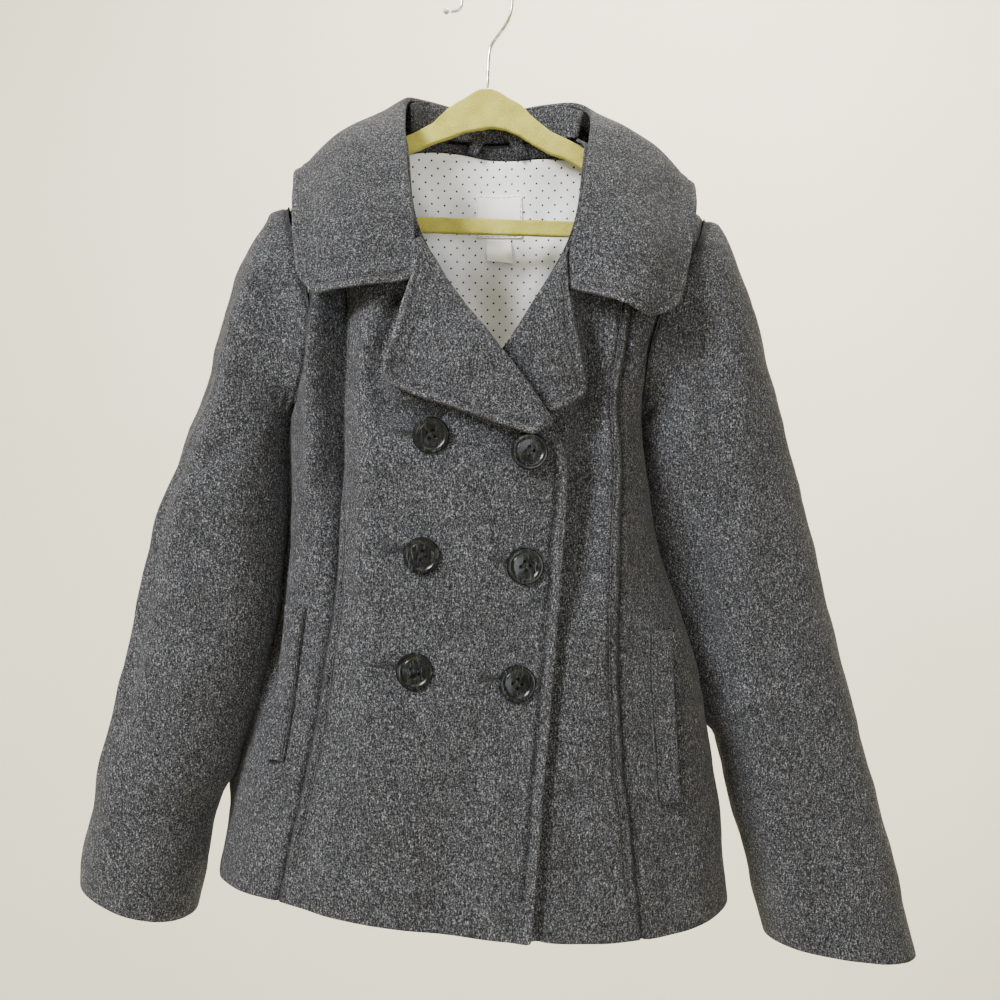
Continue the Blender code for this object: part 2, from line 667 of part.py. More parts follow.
def collar_rows():
    """Outer points of the collar's fall, each row from roll line to edge over its middle."""
    table = []
    for leaf in COLLAR:
        table.append([Vector(leaf[0:3]), Vector(leaf[3:6]), Vector(leaf[6:9])])
    last = len(table) - 1
    lines = []
    for i in range(last):
        four = [table[max(i - 1, 0)], table[i], table[i + 1], table[min(i + 2, last)]]
        for step in range(COLLAR_STEPS):
            lines.append([rounded(*[row[k] for row in four], step / COLLAR_STEPS) for k in range(3)])
    lines.append(table[last])
    grid = []
    for roll, middle, edge in lines:
        bend = middle * 2 - (roll + edge) / 2
        row = []
        for c in range(COLLAR_COLUMNS):
            s = c / (COLLAR_COLUMNS - 1)
            point = roll * (1 - s) ** 2 + bend * 2 * s * (1 - s) + edge * s * s
            row.append(clear_of_body(point, COLLAR_CLEARANCE))
        grid.append(row)
    return grid


def clear_of_body(point, clearance):
    """Push a point out of the torso until it stands a clearance off it."""
    if point.z > SHOULDER(point.x) - 1.0:
        return point
    side = FRONT if point.y < 0 else BACK
    angle, fall = locate(side, point.x, point.z)
    surface, normal = torso(side, angle, fall), torso_normal(side, angle, fall)
    short = clearance - (point - surface).dot(normal)
    return point + normal * short if short > 0 else point


def collar_mesh():
    grid = collar_rows()
    normals = [[-line for line in row] for row in grid_normals(grid)]
    return body_from_grids(grid, offset_grid(grid, normals, -DOUBLE))


def stand_mesh():
    """The band inside the back neck, from just under the roll line to the neck seam."""
    outer, inner = [], []
    for leaf, seam_point in zip(COLLAR[STAND_ROWS], NECK_SEAM):
        outward = Vector((leaf.roll_x * 0.5, leaf.roll_y + 4, 0)).normalized()
        top = Vector((leaf.roll_x, leaf.roll_y, leaf.roll_z - STAND_DROP)) - outward * STAND_INSET
        low = Vector(seam_point)
        away = outward * WOOL
        outer.append([top, top.lerp(low, 0.5), low])
        inner.append([point - away for point in outer[-1]])
    return body_from_grids(outer, inner)


# Back, facing and lining

def fall_of(side, x, z):
    return locate(side, x, z)[1]


def top_curve(side, places, columns, left, right):
    """The fall where each column of a panel starts, under a curved top edge."""
    edge = Curve([(place.x, fall_of(side, place.x, place.z)) for place in places])
    first, last = places[0].x, places[-1].x

    def start(share):
        angle = mix(left(0.0), right(0.0), share)
        x = torso(side, angle, 0.02).x
        return edge(clamp(x, first, last))
    return start


def inside_back(x, z, inset):
    """A point inside the back, an inset in from its outer surface."""
    angle, fall = locate(BACK, x, z)
    normal = torso_normal(BACK, angle, fall)
    return torso(BACK, angle, fall) - normal * inset


def facing_mesh():
    """The wool strip inside the back neck, between the neck seam and the lining."""
    upper = column(FACING_TOP, "x", "z")
    lower = column(LINING_TOP, "x", "z")
    columns = 11
    outer, inner = [], []
    for row in range(3):
        out_row, in_row = [], []
        for c in range(columns):
            x = mix(FACING_TOP[0].x, FACING_TOP[-1].x, c / (columns - 1))
            z = mix(upper(x), lower(x) + 1.0, row / 2)
            out_row.append(inside_back(x, z, WOOL + FACING_GAP))
            in_row.append(inside_back(x, z, WOOL + FACING_GAP + FACING))
        outer.append(out_row)
        inner.append(in_row)
    return body_from_grids(outer, inner)


def lining_mesh(grid, normals):
    """The back's lining, made from the back's own points, from the facing to above the hem."""
    upper = column(LINING_TOP, "x", "z")
    outer, inner = [], []
    columns = range(1, len(grid[0]) - 1)
    top_x = [grid[2][c].x for c in columns]
    inset = WOOL + LINING_GAP
    outer.append([inside_back(x, upper(x), inset + LINING_GAP * 2) for x in top_x])
    inner.append([inside_back(x, upper(x), inset + LINING_GAP * 2 + LINING) for x in top_x])
    for row in range(3, len(grid) - 1):
        outer.append([grid[row][c] - normals[row][c] * inset for c in columns])
        inner.append([grid[row][c] - normals[row][c] * (inset + LINING) for c in columns])
    return body_from_grids(outer, inner)


def label_mesh(corners, inset):
    """A woven label inside the back, from its four corners as places."""
    outer, inner = [], []
    for row in range(4):
        out_row, in_row = [], []
        for c in range(4):
            upper = (mix(corners[0].x, corners[1].x, c / 3), mix(corners[0].z, corners[1].z, c / 3))
            lower = (mix(corners[3].x, corners[2].x, c / 3), mix(corners[3].z, corners[2].z, c / 3))
            x, z = mix(upper[0], lower[0], row / 3), mix(upper[1], lower[1], row / 3)
            out_row.append(inside_back(x, z, inset))
            in_row.append(inside_back(x, z, inset + TAPE))
        outer.append(out_row)
        inner.append(in_row)
    return body_from_grids(outer, inner)


def loop_mesh():
    """A flat strap that arches up from the facing and down again, lying in one plane."""
    outer, inner = [], []
    last = len(LOOP_ROUTE) - 1
    for i, place in enumerate(LOOP_ROUTE):
        before, after = LOOP_ROUTE[max(i - 1, 0)], LOOP_ROUTE[min(i + 1, last)]
        run = Vector((after.x - before.x, 0, after.z - before.z)).normalized()
        across = Vector((run.z, 0, -run.x)) * LOOP_HALF
        foot = LOOP_FOOT_BACK if i in (0, last) else 0.0
        centre = Vector((place.x, LOOP_Y + foot, place.z))
        deep = Vector((0, LOOP_THICK / 2, 0))
        section = [(-1.0, 0.5), (-0.5, 1.0), (0.5, 1.0), (1.0, 0.5)]      # its edges are eased
        outer.append([centre + across * share - deep * depth for share, depth in section])
        inner.append([centre + across * share + deep * depth for share, depth in section])
    return body_from_grids(outer, inner)


# Hard pieces

def button_mesh_profile():
    """The turned button's half section, from its top middle out and round to its back."""
    r, t = BUTTON_R, BUTTON_T
    return [(0, t * 0.62), (r * 0.5, t * 0.66), (r * 0.68, t * 0.8), (r * 0.86, t), (r, t * 0.62),
            (r * 0.94, t * 0.12), (r * 0.8, 0), (0, 0)]


def add_button(button, material, collection):
    """A turned button, its back just clear of the top front under it."""
    centre, normal = front_surface(button.x, button.z, True)
    seat = 0.0
    for turn in range(12):
        around = 2 * math.pi * turn / 12
        x, z = button.x + BUTTON_R * math.cos(around), button.z + BUTTON_R * math.sin(around)
        point, _ = front_surface(x, z, True)
        seat = max(seat, (point - centre).dot(normal))
    mesh = bpy.data.meshes.new(button.name)
    profile = button_mesh_profile()
    mesh.from_pydata([(x * MM, 0, z * MM) for x, z in profile],
                     [(i, i + 1) for i in range(len(profile) - 1)], [])
    mesh.materials.append(material)
    piece = bpy.data.objects.new(button.name, mesh)
    collection.objects.link(piece)
    screw = piece.modifiers.new("turned", "SCREW")
    screw.steps = screw.render_steps = 24
    screw.use_merge_vertices = True
    screw.merge_threshold = 0.00001
    screw.use_smooth_shade = True
    up = normal.to_track_quat("Z", "Y").to_matrix().to_4x4()
    piece.matrix_world = Matrix.Translation((centre + normal * (seat + SEAM_GAP)) * MM) @ up
    return piece


def add_flat_curve(name, outlines, half_thickness, bevel, material, collection):
    """A flat outline with its holes, filled and given a thickness along Y."""
    curve = bpy.data.curves.new(name, "CURVE")
    curve.dimensions = "2D"
    curve.fill_mode = "BOTH"
    curve.extrude = (half_thickness - bevel) * MM
    curve.bevel_depth = bevel * MM
    curve.bevel_resolution = 0
    for outline in outlines:
        spline = curve.splines.new("POLY")
        spline.points.add(len(outline) - 1)
        for point, (x, z) in zip(spline.points, outline):
            point.co = (x * MM, z * MM, 0, 1)
        spline.use_cyclic_u = True
    curve.materials.append(material)
    piece = bpy.data.objects.new(name, curve)
    piece.rotation_euler = (math.radians(90), 0, 0)
    collection.objects.link(piece)
    return piece


def hanger_outlines():
    """The hanger's outer outline and the gap between its arms and its bar."""
    upper, lower = column(HANGER_ARMS, "x", "upper"), column(HANGER_ARMS, "x", "lower")
    first, last = HANGER_ARMS[0].x, HANGER_ARMS[-1].x
    across = [mix(first, last, i / HANGER_STEPS) for i in range(HANGER_STEPS + 1)]
    top = sorted(set(across + HANGER_CROWN))

    def bar(x, z):
        return z + BAR_TILT * x
    outer = [(x, upper(x)) for x in top]
    outer += [(place.x, place.z) for place in HANGER_RIGHT_END]
    outer += [(last - 6, bar(last - 6, BAR_LOWER)), (first + 6, bar(first + 6, BAR_LOWER))]
    outer += [(place.x, place.z) for place in HANGER_LEFT_END]
    hole_x = [x for x in across if abs(x) < BAR_HALF - 8]
    start, end = hole_x[0], hole_x[-1]
    hole = [(x, lower(x)) for x in hole_x]
    hole += [(end + 5, bar(BAR_HALF, BAR_UPPER) + 3.0), (end - 2, bar(end, BAR_UPPER))]
    hole += [(start + 2, bar(start, BAR_UPPER)), (start - 5, bar(-BAR_HALF, BAR_UPPER) + 3.0)]
    return outer, hole


def add_hook(material, collection):
    """The wire hook, a curve with a round section, and the ball on its tip."""
    bend = []
    for i in range(HOOK_BEND_STEPS + 1):
        turn = math.radians(mix(HOOK_BEND_FROM, HOOK_BEND_TO, i / HOOK_BEND_STEPS))
        bend.append((HOOK_BEND_R * math.cos(turn), HOOK_CENTRE_Z + HOOK_BEND_R * math.sin(turn)))
    route = HOOK_STEM + bend + HOOK_TAIL
    curve = bpy.data.curves.new("hanger_hook", "CURVE")
    curve.dimensions = "3D"
    curve.bevel_depth = WIRE_R * MM
    curve.bevel_resolution = 2
    curve.use_fill_caps = True
    spline = curve.splines.new("POLY")
    spline.points.add(len(route) - 1)
    for point, (x, z) in zip(spline.points, route):
        point.co = (x * MM, 0, z * MM, 1)
    curve.materials.append(material)
    piece = bpy.data.objects.new("hanger_hook", curve)
    collection.objects.link(piece)
    tip_x, tip_z = HOOK_TAIL[-1]
    ball = bmesh.new()
    bmesh.ops.create_uvsphere(ball, u_segments=14, v_segments=8, radius=HOOK_TIP_R * MM,
                              matrix=Matrix.Translation(Vector((tip_x - HOOK_TIP_R - SEAM_GAP, 0, tip_z)) * MM))
    add_piece("hook_tip", ball, material, collection)


def finish(name, colour, roughness, metallic=0.0):
    """A Principled material from a linear colour."""
    material = bpy.data.materials.new(name)
    material.use_nodes = True
    shader = material.node_tree.nodes["Principled BSDF"]
    shader.inputs["Base Color"].default_value = (*colour, 1)
    shader.inputs["Roughness"].default_value = roughness
    shader.inputs["Metallic"].default_value = metallic
    return material


def clear_scene():
    for item in list(bpy.data.objects):
        bpy.data.objects.remove(item, do_unlink=True)


def welt_rows(table):
    return [(row.open_x, row.z, row.sewn_x, row.z) for row in table]


def main():
    clear_scene()
    coat = bpy.data.collections.new("pea_coat")
    bpy.context.scene.collection.children.link(coat)
    wool = finish("wool_melton", (0.09, 0.09, 0.095), 0.95)
    lining = finish("lining_cotton", (0.85, 0.85, 0.84), 0.8)
    tape = finish("label_tape", (0.9, 0.9, 0.88), 0.7)
    horn = finish("button_horn", (0.012, 0.013, 0.013), 0.25)
    flock = finish("hanger_flock", (0.52, 0.5, 0.2), 0.95)
    chrome = finish("hook_chrome", (0.6, 0.6, 0.58), 0.2, 1.0)

    def cloth(name, mesh, material=wool):
        return add_piece(name, mesh, material, coat)

    left = Armhole(LEFT_ARMHOLE_FRONT, LEFT_ARMHOLE_BACK, -90, LEFT_SLEEVE, LEFT_SLEEVE_FOLDS)
    right = Armhole(RIGHT_ARMHOLE_FRONT, RIGHT_ARMHOLE_BACK, 90, RIGHT_SLEEVE, RIGHT_SLEEVE_FOLDS)
    top_princess, under_princess = seam(FRONT, TOP_PRINCESS), seam(FRONT, UNDER_PRINCESS)
    top_edge, under_edge = seam(FRONT, TOP_FRONT_EDGE), seam(FRONT, UNDER_FRONT_EDGE)

    cloth("front_top", panel_mesh(FRONT, top_princess, top_edge, 13, lift=top_front_lift,
                                  edges=("left", "top")))
    cloth("front_under", panel_mesh(FRONT, under_edge, under_princess, 13, edges=("right", "top")))
    cloth("side_front_top", panel_mesh(FRONT, left.front, top_princess, 7, armholes=[(0, left)]))
    cloth("side_front_under", panel_mesh(FRONT, under_princess, right.front, 7, armholes=[(-1, right)]))
    back_columns = 17
    neck = top_curve(BACK, BACK_NECK, back_columns, left.back, right.back)
    shoulders = [left.back(0.0), right.back(0.0)]

    def back_top(share):
        x = torso(BACK, mix(shoulders[0], shoulders[1], share), 0.0).x
        return neck(share) if BACK_NECK[0].x < x < BACK_NECK[-1].x else 0.0

    cloth("back", panel_mesh(BACK, left.back, right.back, back_columns, top=back_top,
                             armholes=[(0, left), (-1, right)]))
    back_points, back_normals = panel_grids(BACK, left.back, right.back, back_columns, back_top)
    cloth("sleeve_left", left.sleeve_mesh())
    cloth("sleeve_right", right.sleeve_mesh())
    cloth("lapel_top", lapel(TOP_LAPEL, True, 2.5))
    cloth("lapel_under", lapel(UNDER_LAPEL, False, 2.0, tucked=5))
    cloth("collar_fall", collar_mesh())
    cloth("collar_stand", stand_mesh())
    cloth("neck_facing", facing_mesh())
    cloth("lining_back", lining_mesh(back_points, back_normals), lining)
    cloth("hanging_loop", loop_mesh())
    inset = WOOL + LINING_GAP + LINING + LABEL_GAP
    cloth("neck_label", label_mesh(NECK_LABEL, inset), tape)
    cloth("size_tag", label_mesh(SIZE_TAG, inset), tape)
    flat = [0.0] * len(LEFT_WELT)
    cloth("pocket_welt_left", lying_piece(welt_rows(LEFT_WELT), False, flat, WOOL, 4, LYING_GAP))
    cloth("pocket_welt_right", lying_piece(welt_rows(RIGHT_WELT), False, flat, WOOL, 4, LYING_GAP))
    for button in BUTTONS:
        add_button(button, horn, coat)
    outer, hole = hanger_outlines()
    add_flat_curve("hanger", [outer, hole], HANGER_T / 2, 0.8, flock, coat)
    add_hook(chrome, coat)


main()
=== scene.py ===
"""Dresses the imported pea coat: wool, dotted lining, labels, stitching, buttons, hanger and hook.

Run inside Blender. Lengths are in millimetres until a mesh is written, in the frame's axes:
+X is the viewer's right, -Y faces the viewer and +Z is up, from the inner top of the wire hook.
"""
from __future__ import annotations

import json
import logging
import math
from dataclasses import dataclass, field
from enum import Enum
from typing import Callable, Sequence

import bmesh
import bpy
import numpy as np
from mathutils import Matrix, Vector
from mathutils.bvhtree import BVHTree
from mathutils.kdtree import KDTree

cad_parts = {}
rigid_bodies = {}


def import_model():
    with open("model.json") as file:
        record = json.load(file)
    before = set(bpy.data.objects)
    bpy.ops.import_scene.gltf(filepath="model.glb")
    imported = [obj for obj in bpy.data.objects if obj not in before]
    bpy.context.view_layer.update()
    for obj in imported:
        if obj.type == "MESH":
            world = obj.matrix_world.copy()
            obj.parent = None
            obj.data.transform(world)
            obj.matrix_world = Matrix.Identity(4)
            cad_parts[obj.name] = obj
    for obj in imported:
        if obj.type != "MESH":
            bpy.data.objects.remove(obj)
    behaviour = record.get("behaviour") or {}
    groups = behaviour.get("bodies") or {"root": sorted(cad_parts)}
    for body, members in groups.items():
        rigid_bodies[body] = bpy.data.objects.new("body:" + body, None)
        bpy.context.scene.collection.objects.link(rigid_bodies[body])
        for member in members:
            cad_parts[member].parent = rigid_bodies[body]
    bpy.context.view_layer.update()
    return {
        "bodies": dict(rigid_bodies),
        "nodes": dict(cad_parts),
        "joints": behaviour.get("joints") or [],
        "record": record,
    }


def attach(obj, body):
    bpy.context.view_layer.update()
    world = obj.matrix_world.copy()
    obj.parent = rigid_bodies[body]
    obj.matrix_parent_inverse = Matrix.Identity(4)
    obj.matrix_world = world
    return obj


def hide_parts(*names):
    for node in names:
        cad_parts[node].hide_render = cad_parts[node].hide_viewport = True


LOG = logging.getLogger("pea_coat")

MM = 0.001
SHARP_TURN = math.radians(28)      # a wall's rim turns more sharply than this, its faces less
SEAM_CLOSE = 0.75                  # how far across a seam's gap each of its two rims is brought
PAINTED_LIGHT_ATTRIBUTE = "wear_and_painted_light"                      # the wool's attribute of painted light: below 0 painted shade in grooves and seams, above 0 painted highlight beside raised edges
MERGE = 0.00001                    # the frame's loose triangles share their corners to this, metres
SEWN_CREASE = 0.95                 # how crisp a rim stays as it is rounded, where it is sewn
FREE_CREASE = 0.45                 # and where it is a turned edge
SEAM_REACH = 1.6                   # how far off the next wall a sewn rim can be at a seam, millimetres
ARMHOLE_REACH = 2.8                # and at an armhole

Points = np.ndarray
Piece, Material, Socket = bpy.types.Object, bpy.types.Material, bpy.types.NodeSocket
Field = Callable[[Points, Sequence["Crease"]], Points]


class Side(Enum):
    """Which side of a tube of cloth a crease lies on, as the level way that side faces."""

    FRONT = (0, -1)
    BACK = (0, 1)
    LEFT = (-1, 0)
    RIGHT = (1, 0)


# Helpers for meshes

def deselect_all() -> None:
    """Leave nothing selected, in object mode."""
    if bpy.context.object and bpy.context.object.mode != "OBJECT":
        bpy.ops.object.mode_set(mode="OBJECT")
    bpy.ops.object.select_all(action="DESELECT")


def make_active(piece: Piece) -> None:
    """Select one piece alone and make it the active object."""
    deselect_all()
    piece.select_set(True)
    bpy.context.view_layer.objects.active = piece


def apply_modifier(piece: Piece, modifier: bpy.types.Modifier) -> None:
    """Apply one modifier of a piece."""
    make_active(piece)
    bpy.ops.object.modifier_apply(modifier=modifier.name)


def subdivide(piece: Piece, levels: int) -> None:
    """Round a piece with an applied subdivision surface of so many levels."""
    surface = piece.modifiers.new("rounding", "SUBSURF")
    surface.levels = surface.render_levels = levels
    apply_modifier(piece, surface)


def close_seams(piece: Piece, sewn_to: Sequence[Piece],
                reach: float) -> list[tuple[Vector, Vector]]:
    """Bring a piece's rim halfway to the pieces it is sewn to, and keep its rim crisp there.

    Args:
        piece: A flat-faced wall of cloth.
        sewn_to: The pieces it meets at its seams.
        reach: How far off a sewn rim can be, in millimetres.

    Returns:
        Places about a millimetre apart along the sewn rims, in millimetres, each with the normal
        of the wall's skin beside it.
    """
    trees = []
    for other in sewn_to:
        mesh = other.data
        trees.append(BVHTree.FromPolygons([vert.co for vert in mesh.vertices],
                                          [tuple(face.vertices) for face in mesh.polygons]))
    build = bmesh.new()
    build.from_mesh(piece.data)
    crease = build.edges.layers.float.get("crease_edge") or build.edges.layers.float.new("crease_edge")
    rim = [edge for edge in build.edges if edge.calc_face_angle(0.0) > SHARP_TURN]
    sewn = set()
    for vert in {vert for edge in rim for vert in edge.verts}:
        found = [tree.find_nearest(vert.co, reach * MM) for tree in trees]
        near = min((hit for hit in found if hit[0] is not None), key=lambda hit: hit[3], default=None)
        if near is not None:
            vert.co += (near[0] - vert.co) * SEAM_CLOSE
            sewn.add(vert)
    spots = []
    build.normal_update()
    for edge in rim:
        joined = all(vert in sewn for vert in edge.verts)
        edge[crease] = SEWN_CREASE if joined else FREE_CREASE
        skin = max(edge.link_faces, key=lambda face: face.calc_area())
        steps = max(1, round(edge.calc_length() / MM)) if joined else 0
        start, run = edge.verts[0].co, edge.verts[1].co - edge.verts[0].co
        spots += [((start + run * (i / steps)) / MM, skin.normal.copy()) for i in range(steps)]
    build.to_mesh(piece.data)
    build.free()
    return spots


def points_of(mesh: bpy.types.Mesh) -> Points:
    """The mesh's points as an (n, 3) array, in millimetres."""
    flat = np.empty(len(mesh.vertices) * 3, np.float32)
    mesh.vertices.foreach_get("co", flat)
    return flat.reshape(-1, 3).astype(np.float64) / MM


def set_points(mesh: bpy.types.Mesh, points: Points) -> None:
    """Write an (n, 3) array of millimetres back to the mesh."""
    mesh.vertices.foreach_set("co", (points * MM).astype(np.float32).ravel())
    mesh.update()


def normals_of(mesh: bpy.types.Mesh) -> Points:
    """The mesh's point normals as an (n, 3) array."""
    flat = np.empty(len(mesh.vertices) * 3, np.float32)
    mesh.vertex_normals.foreach_get("vector", flat)
    return flat.reshape(-1, 3).astype(np.float64)


def smoothstep(value: Points) -> Points:
    """Ease from 0 to 1 as a value goes from 0 to 1."""
    value = np.clip(value, 0.0, 1.0)
    return value * value * (3 - 2 * value)


def unevenness(points: Points, size: float, seed: int) -> Points:
    """A soft, patternless height of about -1 to 1 for each point.

    Args:
        points: (n, 3) places in millimetres.
        size: How far apart its humps lie, in millimetres.
        seed: Which of many such fields.

    Returns:
        One height for each point.
    """
    rng = np.random.default_rng(seed)
    waves = 12
    turns = rng.normal(size=(waves, 3))
    turns /= np.linalg.norm(turns, axis=1)[:, None]
    turns *= (2 * math.pi / size) * rng.uniform(0.6, 1.4, (waves, 1))
    phases = rng.uniform(0, 2 * math.pi, waves)
    return np.cos(points @ turns.T + phases).sum(axis=1) / math.sqrt(waves)


def copy_of_node(frame: dict, name: str) -> Piece:
    """Copy a node of the frame as one joined surface of quads.

    Args:
        name: The node's name.

    Returns:
        The new object. The node itself is left as it is.
    """
    mesh = frame["nodes"][name].data.copy()
    mesh.name = f"{name}_dressed"
    mesh.materials.clear()
    piece = bpy.data.objects.new(f"{name}_dressed", mesh)
    bpy.context.scene.collection.objects.link(piece)
    make_active(piece)
    bpy.ops.object.mode_set(mode="EDIT")
    bpy.ops.mesh.select_all(action="SELECT")
    bpy.ops.mesh.remove_doubles(threshold=MERGE)
    bpy.ops.mesh.tris_convert_to_quads(face_threshold=math.radians(50), shape_threshold=math.radians(65))
    bpy.ops.mesh.mark_sharp(clear=True)
    bpy.ops.mesh.customdata_custom_splitnormals_clear()
    bpy.ops.object.mode_set(mode="OBJECT")
    return piece


def new_piece(name: str, build: bmesh.types.BMesh) -> Piece:
    """Turn a bmesh, in millimetres, into an object of the scene."""
    bmesh.ops.scale(build, vec=(MM, MM, MM), verts=build.verts[:])
    bmesh.ops.recalc_face_normals(build, faces=build.faces[:])
    mesh = bpy.data.meshes.new(name)
    build.to_mesh(mesh)
    build.free()
    mesh.shade_smooth()
    piece = bpy.data.objects.new(name, mesh)
    bpy.context.scene.collection.objects.link(piece)
    return piece


# Helpers for materials

def linear(colour: str) -> tuple[float, float, float, float]:
    """Turn an sRGB hex colour into the linear colour that a shader takes."""
    parts = [int(colour[i:i + 2], 16) / 255 for i in (1, 3, 5)]
    red, green, blue = (c / 12.92 if c <= 0.04045 else ((c + 0.055) / 1.055) ** 2.4 for c in parts)
    return red, green, blue, 1.0


def per_metre(size: float) -> float:
    """A texture's scale that gives details of a size in millimetres."""
    return 1 / (size * MM)


def add_node(material: Material, kind: str, links: dict[str | int, Socket] | None = None,
             inputs: dict[str | int, object] | None = None, output: str | int = 0,
             **settings: object) -> Socket:
    """Add one shader node.

    Args:
        material: The material whose tree it joins.
        kind: The node's type, without its ShaderNode.
        links: Sockets for its inputs, by name or number.
        inputs: Plain values for its inputs, by name or number.
        output: Which of its outputs is wanted.
        settings: Its own properties.

    Returns:
        That output's socket.
    """
    tree = material.node_tree
    made = tree.nodes.new(f"ShaderNode{kind}")
    for key, value in settings.items():
        setattr(made, key, value)
    for key, value in (inputs or {}).items():
        made.inputs[key].default_value = value
    for key, socket in (links or {}).items():
        tree.links.new(socket, made.inputs[key])
    return made.outputs[output]


def new_material(name: str) -> tuple[Material, Socket]:
    """A material, and the Object coordinates that its patterns are laid on."""
    material = bpy.data.materials.new(name)
    material.use_nodes = True
    return material, add_node(material, "TexCoord", output="Object")


def ramp(material: Material, source: Socket,
         stops: Sequence[tuple[float, str]]) -> Socket:
    """Colour a value.

    Args:
        material: The material it is for.
        source: The value's socket.
        stops: Places along the value and their hex colours.

    Returns:
        The colour's socket.
    """
    made = add_node(material, "ValToRGB", {"Fac": source})
    bar = made.node.color_ramp
    for element, (place, colour) in zip(bar.elements, (stops[0], stops[-1])):
        element.position, element.color = place, linear(colour)
    for place, colour in stops[1:-1]:
        bar.elements.new(place).color = linear(colour)
    return made


def finished(material: Material, links: dict[str, Socket], plain: dict[str, object]) -> Material:
    """Set up a material's shader.

    Args:
        material: The material.
        links: Sockets for the shader's inputs.
        plain: Values for those that are the same all over the surface.

    Returns:
        The material.
    """
    shader = material.node_tree.nodes["Principled BSDF"]
    for key, socket in links.items():
        material.node_tree.links.new(socket, shader.inputs[key])
    for key, value in plain.items():
        shader.inputs[key].default_value = value
    return material


# Finishes

@dataclass(frozen=True)
class WoolMelton:
    """Grey melange wool melton: woven, then fulled until its fibres hide the weave.

    Light and dark fibres mixed before spinning give it its salt and pepper grain, and the nap
    scatters light at its edges. Single fibres are too fine to show, so the grain is drawn as
    the small tufts that they clump into.
    """

    name: str = "wool_melton_grey_melange"
    tuft: float = 1.05            # mm across
    fibre: float = 0.7            # mm across, along a length several times that
    fibre_stretch: float = 0.22   # how much longer than wide a fibre tuft is drawn
    patch: float = 22.0           # mm, slow changes of the nap
    dark: str = "#0C0D0F"
    low: str = "#1A1B1D"
    middle: str = "#303135"
    high: str = "#505156"
    light: str = "#8C8D93"
    bloom: str = "#C9CACC"        # its sheen
    darkest_painted_shade: float = 0.3        # share of the colour left under the deepest painted shade; the brightest painted highlight is 2 minus it
    nap_height: float = 0.5       # mm

    def build(self) -> Material:
        """Make the material."""
        material, place = new_material(self.name)
        tufts = add_node(material, "TexNoise", {"Vector": place},
                         {"Scale": per_metre(self.tuft), "Detail": 4.0, "Roughness": 0.7,
                          "Distortion": 0.5})
        fibres = []
        for turn in ((0.3, 0.5, 0.6), (1.2, -0.4, 2.2)):
            laid = add_node(material, "Mapping", {"Vector": place},
                            {"Rotation": turn, "Scale": (1, 1, self.fibre_stretch)})
            fibres.append(add_node(material, "TexNoise", {"Vector": laid},
                                   {"Scale": per_metre(self.fibre), "Detail": 2.0, "Roughness": 0.6,
                                    "Distortion": 1.2}))
        crossed = add_node(material, "Math", {0: fibres[0], 1: fibres[1]}, operation="ADD")
        half = add_node(material, "Math", {0: crossed}, {1: 0.5}, operation="MULTIPLY")
        grain = add_node(material, "Mix", {"A": tufts, "B": half}, {"Factor": 0.45})
        melange = ramp(material, grain, [(0.40, self.dark), (0.46, self.low), (0.505, self.middle),
                                         (0.555, self.high), (0.62, self.light)])
        nap = add_node(material, "TexNoise", {"Vector": place},
                       {"Scale": per_metre(self.patch), "Detail": 3.0, "Roughness": 0.6})
        nap_shade = add_node(material, "MapRange", {"Value": nap},
                             {"From Min": 0.3, "From Max": 0.7, "To Min": 0.86, "To Max": 1.1})
        # the attribute darkens the colour in grooves and seams, painted shade, and lightens it beside raised
        # edges, painted highlight
        wear_and_painted_light = add_node(material, "Attribute", output="Fac", attribute_name=PAINTED_LIGHT_ATTRIBUTE)
        painted_light_factor = add_node(material, "MapRange", {"Value": wear_and_painted_light},
                              {"From Min": -1.0, "From Max": 1.0, "To Min": self.darkest_painted_shade,
                               "To Max": 2 - self.darkest_painted_shade})
        shade = add_node(material, "Math", {0: nap_shade, 1: painted_light_factor}, operation="MULTIPLY")
        colour = add_node(material, "VectorMath", {0: melange, "Scale": shade}, operation="SCALE")
        bump = add_node(material, "Bump", {"Height": grain},
                        {"Strength": 0.9, "Distance": self.nap_height * MM})
        return finished(material, {"Base Color": colour, "Normal": bump},
                        {"Roughness": 0.95, "Specular IOR Level": 0.15, "Sheen Weight": 0.08,
                         "Sheen Roughness": 0.5, "Sheen Tint": linear(self.bloom)})


